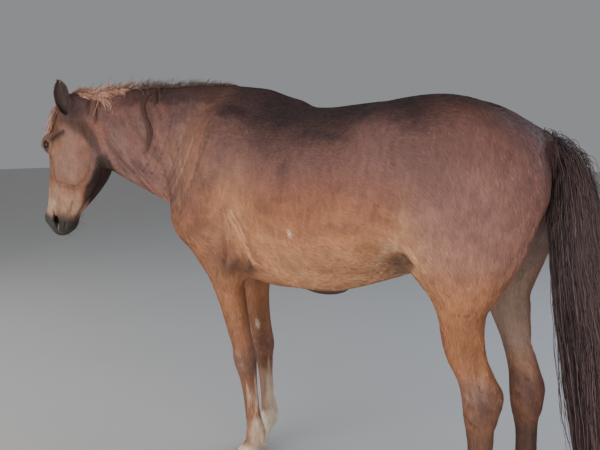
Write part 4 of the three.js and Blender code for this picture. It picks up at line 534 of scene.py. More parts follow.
SKIN = build(BODY + BODY_SKIN, HEAD_SKIN)
PLAIN = build(BODY, [s for s in HEAD_SKIN if s[0] != "cut" and s[0] != "cutube"] + [s for s in HEAD_SKIN if s[0] in ("cut", "cutube")])
JOIN = from_head([.03, 0, -.20]); JW = unit(MH[0] * .35 + MH[2] * .90)   # where the fine head mesh meets the body's


def skin_mesh():
    def f(P): return evalf(SKIN, P) + SKIN_DEEP
    h = .0130; G, lo = grid_eval(f, (-1.12, -.36, .03), (.80, .33, 1.62), h); V, Q = surface_nets(G, lo, h); V, Q = V, Q; TA = triangles(V, Q); VA = V
    s = (VA - JOIN) @ JW; TA = TA[(s[TA] < -.008).all(1)]; VA, TA = tidy(VA, TA)
    h = .0050; G, lo = grid_eval(f, (-1.42, -.44, .86), (-1.0, -.10, 1.62), h); V, Q = surface_nets(G, lo, h); TB = triangles(V, Q); VB = V
    s = (VB - JOIN) @ JW; TB = TB[(s[TB] > .0).all(1)]; VB, TB = tidy(VB, TB)
    u = unit(np.cross(JW, [0, 0, 1.0])); v = np.cross(JW, u)
    la = open_loop(TA, len(VA), np.abs((VA - JOIN) @ JW) < .05); lb = open_loop(TB, len(VB), np.abs((VB - JOIN) @ JW) < .03)
    c = VA[la].mean(0); Z = zipper(VA, la, VB, lb, c, u, v, 0, len(VA)); V = np.vstack([VA, VB])
    F = np.cross(V[Z[:, 1]] - V[Z[:, 0]], V[Z[:, 2]] - V[Z[:, 0]]); m = V[Z].mean(1) - c
    if (F * m).sum() < 0: Z = Z[:, ::-1]
    T = np.concatenate([TA, TB + len(VA), Z])
    print("skin first", len(V), len(T), "loops", len(la), len(lb), round(time.time() - T0, 1))
    U, inv, cnt = edges_of(T, len(V)); print("open or shared edges", (cnt != 2).sum())
    C = V[T].mean(1)
    T_leg = (C[:, 2] < .66)
    s = (C - JOIN) @ JW; near = (s < 0) & (s > -.10)
    line = np.concatenate([spline([[*r, w] for r in rows], 4) for rows, w, _ in CREASES]); close = np.zeros(len(C), bool); m = (C[:, 1] < .0) & (C[:, 2] > .80)
    for q in line: close[m] |= np.linalg.norm(C[m] - q[:3], axis=1) < q[3] + .014
    V, T = refine(V, T, T_leg | near | close)
    C = V[T].mean(1); close = np.zeros(len(C), bool); m = (C[:, 1] < .0) & (C[:, 2] > .80)
    for q in line[line[:, 3] < .0125]: close[m] |= np.linalg.norm(C[m] - q[:3], axis=1) < q[3] + .008
    V, T = refine(V, T, close); C = V[T].mean(1); L = to_head(C); L[:, 1] = np.abs(L[:, 1])
    eye = np.linalg.norm((L - [EYE_AT[0], EYE_AT[1] + .010, EYE_AT[2]]) / [.034, .03, .028], axis=1) < 1
    nose = np.linalg.norm((L - [.494, .048, -.072]) / [.040, .02, .034], axis=1) < 1
    lips = (L[:, 0] > .455) & (np.abs(L[:, 2] + .115 - (L[:, 0] - .5) * .35) < .014) & (L[:, 1] < .06)
    ear = (L[:, 0] < .062) & (L[:, 1] > .050) & (np.linalg.norm((L - [0, .085, -.075]) / [.095, .038, .06], axis=1) < 1.1)
    V, T = refine(V, T, eye | nose | lips | ear)
    for it in range(3):
        d, g = values_grad(SKIN, V, e=.0010 if it else .0016); gl = np.linalg.norm(g, axis=1); N = g / (gl[:, None] + 1e-9)
        step = np.clip(d + SKIN_DEEP, -.004, .004) / np.maximum(gl, .6); V = V - N * step[:, None]
        if it < 2: V = relax(V, T, .45, N=N)
    print("skin", len(V), len(T), "worst", round(float(np.abs(values(SKIN, V) + SKIN_DEEP).max()) * 1000, 2), "mm", round(time.time() - T0, 1))
    return V, T


V, T = skin_mesh()

# ---------------------------------------------------------------- markings and the lie of the coat, shared by skin and tufts
def near(x, c, w): return np.exp(-((x - c) / w) ** 2)


def blob(P, c, r):
    """1 in the middle of a rounded patch, falling to 0 at its edge"""
    q = (((P - np.array(c)) / np.array(r)) ** 2).sum(1)
    return smooth(1.0, 0.15, q)


def haze(P, c, r):
    """a soft patch with no edge"""
    return np.exp(-(((P - np.array(c)) / np.array(r)) ** 2).sum(1))


def leg_shares(P):
    """for each of the four legs, 1 on it and 0 elsewhere"""
    out = {}
    for n, xs in (("fn", FORE_NEAR), ("ff", FORE_FAR), ("hn", HIND_NEAR), ("hf", HIND_FAR)):
        R = np.array(xs)[::-1]; x = np.interp(P[:, 2], R[:, 2], R[:, 0]); y = np.interp(P[:, 2], R[:, 2], R[:, 1])
        out[n] = ((np.abs(P[:, 0] - x) < .17) & (np.abs(P[:, 1] - y) < (.078 if n in ("fn", "ff") else .078))).astype(float) * smooth(.92, .80, P[:, 2]); out[n + "x"] = P[:, 0] - x; out[n + "y"] = P[:, 1] - y
    return out


def tones(P, N):
    """three sets of three weights: (warm, dark with painted shade on top, mauve), (muzzle grey with painted shade in
    hollows, pale tan with painted highlights, white), (shank, painted shade in folds and hollows with the sheath's dark
    skin, painted highlight)
    """
    L = to_head(P); hx, hy, hz = L[:, 0], np.abs(L[:, 1]), L[:, 2]
    head = smooth(.02, .10, hx) * smooth(-.32, -.24, hz) * (P[:, 0] < -.95); x, y, z = P.T
    streak = fbm(P * [1.6, 3.0, 7.0], 6.0, 3); patch = fbm(P, 4.5, 11); fine = fbm(P, 26.0, 21)
    up = N[:, 2]; body = smooth(-.56, -.36, x) * (1 - head); zz = z + (streak - .5) * .14 + (patch - .5) * .10
    neck = smooth(-.40, -.62, x) * (1 - head)
    # warm: the lower half of the barrel, the chest, the upper legs and the face
    warm = smooth(1.20, .92, zz) * body; warm = np.maximum(warm, smooth(1.02, .86, z) * smooth(.50, .72, z) * (.30 + .25 * patch))
    warm = np.maximum(warm, smooth(-.36, -.52, x) * smooth(1.16, 1.00, zz) * .55 * (1 - head)); warm = np.maximum(warm, head * (.18 + .20 * (patch - .3)) * smooth(-.235, -.15, hz))
    warm = np.maximum(warm, haze(P, (-.30, -.20, 1.08), (.15, .30, .17)) * .95); warm = np.maximum(warm, haze(P, (-.30, .20, 1.08), (.15, .30, .17)) * .95)
    # dark: the back, the withers and the top of the neck, partly the coat's own darker tone and partly painted shade
    # where the surface faces up and below the mane
    mott = fbm(P * [1, 1, .7], 17.0, 51); dark = smooth(1.13, 1.40, zz) * body * (.50 + .50 * smooth(.0, .75, up)); dark *= 1 - .55 * smooth(.36, .52, x)
    soft = lambda c, r: smooth(.20, .62, blob(P, c, r) * (.45 + 1.1 * patch))
    dark = np.maximum(dark, soft((-.30, 0, 1.45), (.22, .24, .13)) * .80); dark = np.maximum(dark, haze(P, (-.055, -.24, 1.218), (.036, .20, .050)) * (.32 + .55 * fine) + haze(P, (-.075, -.24, 1.262), (.060, .20, .040)) * .20); dark = np.maximum(dark, smooth(.05, .6, up) * smooth(-.48, -.30, x) * smooth(1.36, 1.43, z) * body * .85)
    # the dark band along the crest below the mane is partly the neck's darker coat and partly painted shade from the
    # mane
    dark = np.maximum(dark, .40 * smooth(.58, .75, patch) * (1 - head) * smooth(.7, .95, z)); crest_shade = smooth(-.36, -.50, x) * smooth(-1.00, -.84, x) * smooth(1.435, 1.48, z + (fine - .5) * .06); dark = np.maximum(dark, crest_shade * .86); dark = np.maximum(dark, smooth(-.36, -.50, x) * smooth(-1.12, -.98, x) * smooth(1.45, 1.49, z + (fine - .5) * .06) * .40); dark = np.maximum(dark, neck * np.clip(.30 * smooth(.40, .62, mott) + .30 * smooth(1.30, 1.42, z) + .22 * smooth(.45, .65, patch), 0, .7) * smooth(.95, 1.05, z))
    # on the head, the front of the face by the eye and the upper head are darker: painted shade
    run = P @ np.array([[.93, 0, .36], [0, .6, 0], [-.36 * .28, 0, .93 * .28]]).T; st1, st2 = fbm(run, 40.0, 71), fbm(run, 46.0, 73); dark = np.maximum(dark, neck * smooth(.48, .64, st1) * .54 * smooth(1.0, 1.12, z)); dark = np.maximum(dark, neck * (.16 + .14 * smooth(1.22, 1.40, z)) * smooth(1.05, 1.2, z)); mauve = np.maximum(neck * (.62 + .9 * (mott - .5) + .3 * (patch - .5)) * smooth(1.02, 1.14, z), smooth(.28, .42, x) * smooth(.86, 1.02, z) * smooth(1.50, 1.34, z) * .65); mauve = np.maximum(mauve, head * smooth(.36, .30, hx) * smooth(-.05, -.09, hz) * (.34 + .9 * (mott - .5)).clip(0, 1)); dark = np.maximum(dark, head * (.12 + .5 * smooth(.50, .66, fine)) * smooth(-.045, -.065, -hz * 0 + hz) * 0 + head * np.clip(.16 * smooth(.42, .62, mott) + .20 * smooth(-.075, -.050, hz) * smooth(.345, .30, hx) + .14 * smooth(.16, .06, hx), 0, .5)); mauve = np.maximum(mauve, head * smooth(-.195, -.225, hz) * (.55 + .6 * (mott - .5))); mauve = np.clip(mauve, 0, 1)
    # the upper barrel turns mauve and darker towards the top; the darkening is partly painted shade from above
    grey = body * smooth(1.10, 1.26, z + (patch - .5) * .16) * smooth(.62, .40, x) * .62; mauve = np.maximum(mauve, grey); dark = np.maximum(dark, body * smooth(1.12, 1.32, z + (patch - .5) * .14) * .50 * smooth(.60, .40, x)); dark = np.maximum(dark, sum(haze(P, (-.40, s * .2, 1.20), (.13, .3, .16)) for s in (-1, 1)) * (.16 + .34 * smooth(.40, .64, fine)) * (1 - head)); dark = np.maximum(dark, body * smooth(.50, .68, fbm(P * [.6, 1, 1], 30.0, 99)) * .22)
    # painted shade round the armpits and along the girth behind the elbows
    dark = np.maximum(dark, sum(haze(P, (a, s * b, c), (.042, .09, .036)) * k for a, b, c, k in ((-.320, .175, .858, .26), (-.348, .190, .885, .20), (-.290, .176, .885, .22), (-.369, .218, .955, .16)) for s in (-1, 1)) * (.5 + 1.0 * fine)); dark = np.maximum(dark, sum(haze(P, (a, s * b, c), (e, .06, .018)) * k for a, b, c, e, k in ((-.238, .190, .895, .018, .85), (-.256, .172, .874, .020, .90), (-.285, .150, .850, .022, .80), (-.214, .178, .868, .024, .55), (-.180, .180, .861, .030, .40)) for s in (-1, 1)).clip(0, .92))
    g = leg_shares(P); leg = g["fn"] + g["ff"] + g["hn"] + g["hf"]; leg = np.clip(leg, 0, 1) * smooth(.72, .50, z)
    shank = leg * (.45 + .9 * (patch - .5)) * smooth(.14, .22, z); shank = np.maximum(shank, leg * np.maximum(near(z, .50, .050) * np.where(x < 0, .45, 1.0), near(z, .60, .055) * (x > 0)) * .85); shank = np.maximum(shank, (g["hn"] + g["hf"]) * smooth(.54, .46, z) * smooth(.14, .20, z) * .80); dark = np.maximum(dark, (g["hn"] + g["hf"]) * smooth(.52, .42, z) * smooth(.14, .20, z) * (.40 + .30 * smooth(.0, .02, g["hnx"] + g["hfx"])) ); dark = np.maximum(dark, (g["hn"] * haze(np.stack([g["hnx"], z], 1), (.028, .545), (.014, .055)) + g["hf"] * haze(np.stack([g["hfx"], z], 1), (.028, .545), (.014, .055))) * .55)
    shank = np.maximum(shank, leg * near(z, .235, .035) * .5); shank = np.maximum(shank, blob(P, (-.305, -.125, .19), (.055, .05, .045)) * .9)
    # pale: pasterns, the rear of the far cannon, thin streaks down the others
    stripe = smooth(.55, .70, fbm(P * [1.0, 1.0, .12], 60.0, 41))
    white = g["fn"] * smooth(.158, .120, z + (fine - .5) * .03) * (1 - .80 * blob(P, (FORE_NEAR[11][0] - .045, -.098, .160), (.05, .04, .045)))
    white = np.maximum(white, g["fn"] * smooth(.004, .022, g["fnx"]) * smooth(.40, .33, z + (fine - .5) * .05) * smooth(.16, .20, z) * stripe * .55)
    rear = smooth(.006, .024, g["ffx"]); rear_edge = smooth(.225, .185, z + (fine - .5) * .05) + rear * smooth(.40, .30, z + (fine - .5) * .06) * (.45 + .5 * stripe)
    white = np.maximum(white, g["ff"] * np.clip(rear_edge, 0, 1)); white = np.maximum(white, (g["hn"] + g["hf"]) * smooth(.135, .10, z + (fine - .5) * .03) * .35)
    white = np.maximum(white, smooth(1.1, .6, np.linalg.norm((P - [-.010, -.28, 1.029]) / [.0060, .03, .0100], axis=1)) * .95)
    # the muzzle greys from the nostrils down; the nose above it is pale
    m = hx + (fine - .5) * .035 + .012 * smooth(-.06, -.03, hz) - .006 * smooth(-.12, -.16, hz)
    muzzle_and_shade = head * (.45 * smooth(.440, .475, m) + .55 * smooth(.468, .500, m)); front = smooth(.030, .010, hy) * smooth(-.085, -.06, hz); muzzle_and_shade = muzzle_and_shade * (1 - .35 * front * smooth(.56, .52, hx))
    # a painted highlight along the nostril's raised rim; below it, painted shade inside the nostril (hole), laid on
    # with the muzzle's grey
    nostril_rim_highlight = smooth(.0085, .0035, np.min([np.linalg.norm((np.stack([hx, hy, hz], 1) - q), axis=1) for q in spline([[.462, .058, -.088], [.478, .059, -.0915], [.496, .058, -.0955], [.514, .055, -.0975], [.528, .048, -.099]], 4)], 0)); muzzle_and_shade *= 1 - .30 * nostril_rim_highlight * head * smooth(.512, .500, hx)
    Q = np.stack([hx, hy, hz], 1); eyeq = ((Q - [EYE_AT[0] + .002, .098, EYE_AT[2] - .001]) / [.027, .03, .0165]); lid = head * smooth(1.0, .75, np.linalg.norm(eyeq, axis=1)) * .92; muzzle_and_shade = np.maximum(muzzle_and_shade, lid); hole = head * smooth(.0150, .0105, np.min([np.linalg.norm(Q - q, axis=1) for q in spline([r[:3] for r in NOSTRIL_IN] + [[.490, .050, -.080]], 4)], 0)); muzzle_and_shade = np.maximum(muzzle_and_shade, hole)
    # the pale tan of the lower face is the coat's own; over it go a painted highlight on the upper cheek, the nostril
    # rim's and a thin one along the upper eyelid; the pale strokes on the neck are coat texture
    tuft = fbm(np.stack([hx * .35, hy, hz], 1), 48.0, 81); tan = smooth(.295, .40, hx + (tuft - .5) * .10) * smooth(.490, .455, hx) * smooth(-.200, -.160, hz) * (.20 + .26 * tuft); pale = smooth(.368, .450, hx + (fine - .5) * .06 + (tuft - .5) * .08) * smooth(.495, .465, hx) * smooth(-.110, -.055, hz + (tuft - .5) * .05) * (.50 + .36 * tuft); cream_and_highlight = head * np.maximum(tan, pale); cream_and_highlight = np.maximum(cream_and_highlight, head * haze(np.stack([hx, hy, hz], 1), (.200, .085, -.110), (.140, .12, .085)) * (.04 + .34 * tuft)); cream_and_highlight = np.maximum(cream_and_highlight, neck * smooth(.52, .68, st2) * smooth(1.02, 1.14, z) * smooth(1.47, 1.38, z) * .09); cream_and_highlight = np.maximum(cream_and_highlight, head * nostril_rim_highlight * .40); cream_and_highlight = np.maximum(cream_and_highlight, head * smooth(.010, .004, np.min([np.linalg.norm(Q - q, axis=1) for q in spline([[.158, .102, -.052], [.160, .103, -.030], [.172, .103, -.0125], [.190, .099, -.010]], 4)], 0)) * .16)
    # crease: painted shade in the ear hollows, the nostrils, the wrinkles and folds, along the jaw, above the eye,
    # under the belly, in the armpits, the groin and the hollow before the thigh; it also holds the sheath's own dark
    # skin, and below zero it marks the pale chestnuts and the inner thighs
    crease = np.zeros(len(P)); ear = ear_in(L); crease = np.maximum(crease, ear * .93)
    crease = np.maximum(crease, ear_root_shade_band(L) * .74); crease = np.maximum(crease, hole * .8)
    near_line = lambda rows, w: smooth(w, w * .3, np.min([np.linalg.norm((Q - q) * [1, .6, 1], axis=1) for q in spline(rows, 4)], 0))
    # painted shade in the wrinkles beside the nose and near the corner of the mouth
    for rows, w, k in (([[.373, .046, -.059], [.394, .047, -.062], [.415, .047, -.068]], .006, .34), ([[.390, .049, -.080], [.411, .049, -.087], [.426, .049, -.096]], .005, .30), ([[.399, .050, -.142], [.422, .046, -.139], [.446, .043, -.133]], .006, .50), ([[.403, .048, -.101], [.427, .048, -.113], [.447, .047, -.124]], .005, .34)): crease = np.maximum(crease, head * near_line(rows, w) * k)
    # a painted highlight along the edge of the lower lip, which lightens the grey there
    lip_highlight = head * near_line([[.500, .056, -.097], [.520, .052, -.098], [.537, .049, -.097], [.548, .041, -.104], [.546, .029, -.122], [.532, .016, -.141]], .0042); muzzle_and_shade *= 1 - .50 * lip_highlight; cream_and_highlight = np.maximum(cream_and_highlight, lip_highlight * .85)
    edge = np.interp(hx, [.08, .127, .173, .231, .285, .322, .352, .41, .45, .48], [-.215, -.222, -.226, -.226, -.210, -.193, -.182, -.176, -.160, -.150])
    crease = np.maximum(crease, smooth(.150, .190, hx) * smooth(.004, -.014, hz - edge + (fine - .5) * .008) * smooth(-.36, -.30, hz) * smooth(.50, .46, hx) * (x < -.95) * np.where(L[:, 1] > 0, .95, .92))     # in the shade of the jaw
    # painted shade along the jaw's lower edge, in the hollow above the eye and along the rear edge of the cheek muscle
    crease = np.maximum(crease, head * smooth(.012, .004, np.min([np.linalg.norm((Q - q) * [1, .5, 1], axis=1) for q in spline([[.080, .092, -.178], [.127, .094, -.208], [.173, .091, -.229], [.231, .087, -.230]], 5)], 0)) * .35)
    crease = np.maximum(crease, head * smooth(.020, .004, np.min([np.linalg.norm((Q - q) * [1, .5, 1], axis=1) for q in spline([[.150, .102, -.052], [.136, .098, -.061], [.122, .094, -.072], [.113, .092, -.084]], 5)], 0)) * .78)
    crease = np.maximum(crease, head * smooth(.014, .005, np.min([np.linalg.norm((Q - q) * [1, .5, 1], axis=1) for q in spline([[.322, .073, -.185], [.335, .070, -.150], [.338, .064, -.110]], 5)], 0)) * .30)
    # painted shade on the belly where it faces down
    underside_shade = smooth(-.15, -.75, up) * smooth(.86, .92, z) * smooth(-.2, -.05, x) * smooth(.5, .35, x) * .35; crease = np.maximum(crease, underside_shade)
    crease = np.maximum(crease, blob(P, (-.02, 0, .775), (.14, .07, .045)) * .95)
    # painted shade along the skin's creases on the near side
    line = np.full(len(P), 9.0); near_side = (y < .02) & (z > .8)
    fold_shade = np.zeros(len(P))
    for rows, w, amount in CREASES:
        line[:] = 9.0
        for q in spline([[*r, w] for r in rows], 5): line[near_side] = np.minimum(line[near_side], np.linalg.norm(P[near_side] - q[:3], axis=1) / q[3])
        fold_shade = np.maximum(fold_shade, smooth(.75, .15, line) * min(.72, abs(amount) * 100))
    crease = np.maximum(crease, fold_shade * (.7 + .6 * (fine - .3)))
    for n, s in (("fn", 1), ("ff", 1)):
        k = g[n] * blob(np.stack([g[n + "x"], g[n + "y"], z], 1), (.018, (.047 if n == "fn" else -.047), .580), (.014, .03, .028)); white = np.maximum(white, k * .62)
    for n in ("hn", "hf"):
        k = g[n] * blob(np.stack([g[n + "x"], g[n + "y"], z], 1), (.006, (.038 if n == "hn" else -.034), .452), (.009, .022, .017)); crease = np.where(k > .1, -k, crease)
    soft2 = lambda c, r, k: haze(P, c, r) * k * (.30 + 1.3 * patch) * (.75 + .5 * fine)
    # lit: painted highlights on the lower barrel, the shoulder, the thigh and the base of the neck, and pale painted
    # highlights on the skin folds behind the elbow
    lit = smooth(1.16, .98, z) * smooth(.50, .68, fbm(P * [.6, 1, 1], 36.0, 97)) * smooth(.78, .86, z) * smooth(-.52, -.40, x) * smooth(.60, .45, x) * .17 + smooth(1.08, .86, z) * smooth(-.26, -.10, x) * smooth(.42, .30, x) * (.35 + .35 * patch) + soft2((-.29, -.21, 1.05), (.10, .3, .15), .30) + soft2((-.29, .21, 1.05), (.10, .3, .15), .30) + soft2((.36, -.22, .98), (.085, .25, .13), .42) + soft2((.36, .22, .98), (.085, .25, .13), .42) + soft2((-.56, -.2, 1.26), (.10, .2, .12), .22)
    strokes = np.full(len(P), 9.0)
    for rows in ([(-.292, -.212, 1.035), (-.257, -.213, .981), (-.230, -.208, .933), (-.224, -.194, .896)], [(-.318, -.212, 1.062), (-.272, -.220, 1.010), (-.240, -.214, .955)], [(-.300, -.21, 1.075), (-.262, -.222, 1.028), (-.232, -.220, .975)]):
        for q in spline(rows, 5): strokes[near_side] = np.minimum(strokes[near_side], np.linalg.norm(P[near_side] - q, axis=1))
    lit = np.clip(np.maximum(lit * (z > .74), smooth(.016, .004, strokes) * .72 * (.6 + .8 * fine)) * (1 - head), 0, 1)
    # the hocks: painted highlights on the bones (light, and a pinkish mauve patch); darker towards the rear and in two
    # spots
    for n, sd in (("hn", -1), ("hf", -1)):
        q = np.stack([g[n + "x"], z], 1); light = haze(q, (.030, .615), (.010, .030)) + haze(q, (-.020, .575), (.012, .016)) * .7 + haze(q, (.004, .590), (.008, .040)) * .6; cream_and_highlight = np.maximum(cream_and_highlight, g[n] * light * (.26 if n == "hn" else .16)); mauve = np.maximum(mauve, g[n] * haze(q, (.008, .575), (.060, .060)) * .75); dark = np.maximum(dark, g[n] * smooth(-.030, .020, q[:, 0]) * near(z, .55, .075) * (.26 + .30 * smooth(.45, .65, fine)))
        spot = haze(q, (-.012, .548), (.014, .010)) + haze(q, (.018, .520), (.016, .012)); dark = np.maximum(dark, g[n] * spot * .50)
    knee = np.maximum(g["fn"], g["ff"]) * near(z, .485, .050) * smooth(.46, .62, fbm(P * [1, 1, 2.2], 48.0, 91)); dark = np.maximum(dark, knee * .20); mauve = np.maximum(mauve, np.maximum(g["fn"], g["ff"]) * near(z, .485, .06) * .55); cream_and_highlight = np.maximum(cream_and_highlight, np.maximum(g["fn"], g["ff"]) * near(z, .50, .045) * smooth(.55, .72, fbm(P * [1, 1, 1.6], 42.0, 93)) * .22)
    lanes = fbm(P * [1.0, 1.0, .07], 85.0, 95); cream_and_highlight = np.maximum(cream_and_highlight, (g["fn"] + g["ff"]) * smooth(.47, .40, z) * smooth(.17, .22, z) * smooth(.48, .60, lanes) * np.maximum(.20, .62 * np.maximum(g["fn"] * smooth(-.012, .012, g["fnx"]), g["ff"] * smooth(-.012, .010, g["ffx"])))); dark = np.maximum(dark, (g["fn"] + g["ff"]) * smooth(.46, .38, z) * smooth(.19, .25, z) * smooth(.50, .38, lanes) * .26)
    cream_and_highlight = np.maximum(cream_and_highlight, g["fn"] * smooth(.250, .205, z + (fine - .5) * .05 - smooth(-.01, .02, g["fnx"]) * .03) * (.25 + .60 * smooth(-.012, .018, g["fnx"]))); warm = np.maximum(warm, g["fn"] * near(z, .205, .05) * smooth(.01, -.01, g["fnx"])); shank *= 1 - g["fn"] * near(z, .200, .03) * .8; cream_and_highlight = np.maximum(cream_and_highlight, g["ff"] * smooth(.43, .36, z + (fine - .5) * .05) * (.12 + .30 * smooth(-.02, .01, g["ffx"])))
    # painted shade on the croup where the tail's root meets it
    dark = np.maximum(dark, haze(P, (.71, 0, 1.27), (.065, .12, .15)) * .90); mauve = np.maximum(mauve, haze(P, (.62, 0, 1.25), (.12, .16, .20)) * .5)
    upper = smooth(.98, .84, z) * smooth(.50, .62, z) * (1 - head); dark = np.maximum(dark, upper * (.13 + .16 * smooth(.45, .65, fbm(P * [1, 1, .5], 22.0, 89))))
    line = lambda rows, w: smooth(w, w * .25, np.min([np.linalg.norm((P - q) * [1, .6, 1], axis=1) for q in spline(rows, 4)], 0))
    for sd in (1, -1):
        # a painted highlight down the rear edge of each buttock; a painted highlight along the flank fold, and painted
        # shade with grey in the hollow between belly and thigh
        r = [(a, sd * b, c) for a, b, c in ((.68, .118, 1.301), (.694, .137, 1.239), (.702, .139, 1.197), (.701, .136, 1.131), (.689, .141, 1.086), (.676, .153, 1.046), (.658, .173, .996))]; cream_and_highlight = np.maximum(cream_and_highlight, line(r, .0060) * .28)
        r = [(a, sd * b, c) for a, b, c in ((.311, .233, 1.028), (.282, .217, .985), (.246, .187, .933))]; cream_and_highlight = np.maximum(cream_and_highlight, line(r, .013) * .40)
        crease = np.maximum(crease, np.maximum(np.maximum(haze(P, (.336, sd * .205, .986), (.020, .07, .017)), haze(P, (.343, sd * .180, .958), (.026, .055, .022))), haze(P, (.328, sd * .130, .930), (.040, .055, .020))) * .86); wedge_shade = haze(P, (.312, sd * .175, .953), (.052, .075, .042)) * smooth(.30, -.15, up) * smooth(.385, .350, x); crease = np.maximum(crease, wedge_shade * .72); muzzle_and_shade = np.maximum(muzzle_and_shade, wedge_shade * .46); cream_and_highlight = np.maximum(cream_and_highlight, haze(P, (.318, sd * .225, 1.004), (.022, .06, .013)) * .42)
    arm = np.clip(sum(haze(P, (-.345, s * .19, .895), (.080, .13, .075)) for s in (-1, 1)), 0, 1); lit = lit * (1 - .80 * arm); cream_and_highlight = cream_and_highlight * (1 - .5 * arm); shank = np.maximum(shank, arm * (.34 + .40 * patch)); warm = np.maximum(warm, arm * .7)
    # painted shade round the elbows
    elbow_shade = np.maximum(blob(P, (-.36, -.2, .96), (.10, .2, .12)), blob(P, (-.36, .2, .96), (.10, .2, .12))) * .32; dark = np.maximum(dark, elbow_shade)
    inner = smooth(.2, .7, -np.sign(y) * N[:, 1]) * smooth(.60, .72, z) * smooth(1.20, 1.05, z) * smooth(.30, .42, x) * .50; crease = np.where(inner > crease, -inner, crease)
    # painted shade in the armpits, and in the groin where the skin faces down
    armpit_shade = sum(haze(P, (a, s * b, c), (.040, .09, .032)) * k for a, b, c, k in ((-.320, .175, .860, .30), (-.345, .190, .884, .20), (-.285, .172, .880, .36)) for s in (-1, 1)) * (.75 + .5 * fine); crease = np.where(armpit_shade > .04, np.maximum(crease, np.minimum(armpit_shade, .6)), crease)
    groin_shade = np.maximum(blob(P, (.34, -.12, .90), (.10, .11, .09)), blob(P, (.34, .12, .90), (.10, .11, .09))) * smooth(.1, -.5, up) * .55; crease = np.where(groin_shade > .05, np.maximum(crease, groin_shade), crease)
    return np.stack([warm, dark, mauve], 1), np.stack([muzzle_and_shade, np.clip(cream_and_highlight, 0, 1), np.clip(white, 0, 1)], 1), np.stack([np.clip(shank, 0, 1), crease * .5 + .5, lit], 1)


def ear_in(L):
    """1 in the hollow of each ear"""
    out = np.zeros(len(L)); m = (L[:, 0] < .10) & (L[:, 0] > -.10) & (L[:, 2] > -.16)
    for rows, s in ((EAR_HOLLOW, 1), (EAR_HOLLOW_FAR, -1)):
        k = m & (L[:, 1] * s > .03)
        if k.any(): out[k] = smooth(.0060, .0040, evalf(build([["tube", rows, [0, 1, 0], .003, "n"]]), L[k]))
    return out


def ear_root_shade_band(L):
    """a darker band from the ear's root down behind the cheek, partly the coat's own darker tone and partly painted
    shade
    """
    A = spline([[.035, .080, -.095], [.058, .088, -.135], [.088, .092, -.178], [.125, .092, -.215], [.160, .090, -.235]], 5); Q = np.stack([L[:, 0], np.abs(L[:, 1]), L[:, 2]], 1); best = np.full(len(L), 9.0)
    for i, p in enumerate(A): best = np.minimum(best, np.linalg.norm((Q - p) * [1, .5, 1], axis=1) / np.interp(i, [0, len(A) * .45, len(A) - 1], [1.45, .85, .42]))
    return smooth(.050, .014, best)


def lie(P, N):
    """the way the hair lies at each point: along the surface, unit length"""
    L = to_head(P); hx, hy, hz = L[:, 0], L[:, 1], L[:, 2]; x, y, z = P.T; n = len(P); s = np.sign(hy)
    cheek = smooth(-.04, -.12, hz)[:, None]
    face = np.array([1.0, 0, 0]) * (1 - cheek) + np.stack([np.full(n, .80), s * .10, np.full(n, -.55)], 1) * cheek
    brow = smooth(.14, .08, hx)[:, None]; face = face * (1 - brow) + np.stack([np.full(n, .6), s * .5, np.full(n, -.4)], 1) * brow
    ear = (smooth(.062, .045, hx) * smooth(.045, .06, np.abs(hy)))[:, None]; face = face * (1 - ear) + np.array([-1.0, 0, .35]) * ear
    face = face @ MH
    neck = np.array([.82, .25, -.42]) + 0 * P; trunk = np.stack([np.full(n, 1.0), 0 * x, -.18 - .35 * smooth(1.35, 1.0, z) * smooth(.80, .95, z)], 1)
    chest = np.array([.25, 0, -1.0]); rump = np.array([.35, 0, -1.0]); down = np.array([.06, 0, -1.0])
    h = (smooth(-.02, .06, hx + .4 * (-.12 - hz)) * smooth(-.32, -.25, hz) * (x < -1.0))[:, None]; h = np.maximum(h, ear * (x < -1.0)[:, None])
    b = smooth(-.62, -.40, x)[:, None]; F = neck * (1 - b) + trunk * b
    c = (smooth(-.42, -.56, x) * smooth(1.25, 1.10, z))[:, None] * (1 - h); F = F * (1 - c) + chest * c
    r = (smooth(.36, .58, x) * smooth(1.44, 1.30, z))[:, None]; F = F * (1 - r) + rump * r
    g = np.maximum(smooth(.95, .82, z) * ((x < -.22) | (x > .40)), smooth(.78, .70, z))[:, None]; F = F * (1 - g) + down * g; F = F * (1 - h) + face * h
    F = F - N * (F * N).sum(1)[:, None]; return F / (np.linalg.norm(F, axis=1)[:, None] + 1e-9)


def lengths(P):
    """the coat's length, in metres"""
    L = to_head(P); hx, hz = L[:, 0], L[:, 2]; x, y, z = P.T; head = smooth(.0, .06, hx) * smooth(-.30, -.24, hz) * (x < -1.0)
    l = .019 + .003 * smooth(.95, .85, z); l = l * (1 - head) + head * (.0125 - .0070 * smooth(.25, .47, hx)); ear = (hx < .05) & (np.abs(L[:, 1]) > .05) & (x < -1.0) & (P[:, 2] > 1.42); l = np.where(ear, .007, l)
    leg = smooth(.72, .50, z); l = l * (1 - leg) + .0125 * leg; return l


def unwrap(ob):
    """lays the skin's own shape flat, and gives each triangle corner its place"""
    bpy.context.view_layer.objects.active = ob; ob.select_set(True); bpy.ops.object.mode_set(mode="EDIT"); bpy.ops.mesh.select_all(action="SELECT")
    bpy.ops.uv.smart_project(angle_limit=math.radians(66), island_margin=.002, area_weight=.6); bpy.ops.object.mode_set(mode="OBJECT"); ob.select_set(False)
    n = len(ob.data.loops); uv = np.empty(n * 2, np.float32); ob.data.uv_layers["OFBake"].data.foreach_get("uv", uv); return uv.reshape(-1, 3, 2).astype(float)


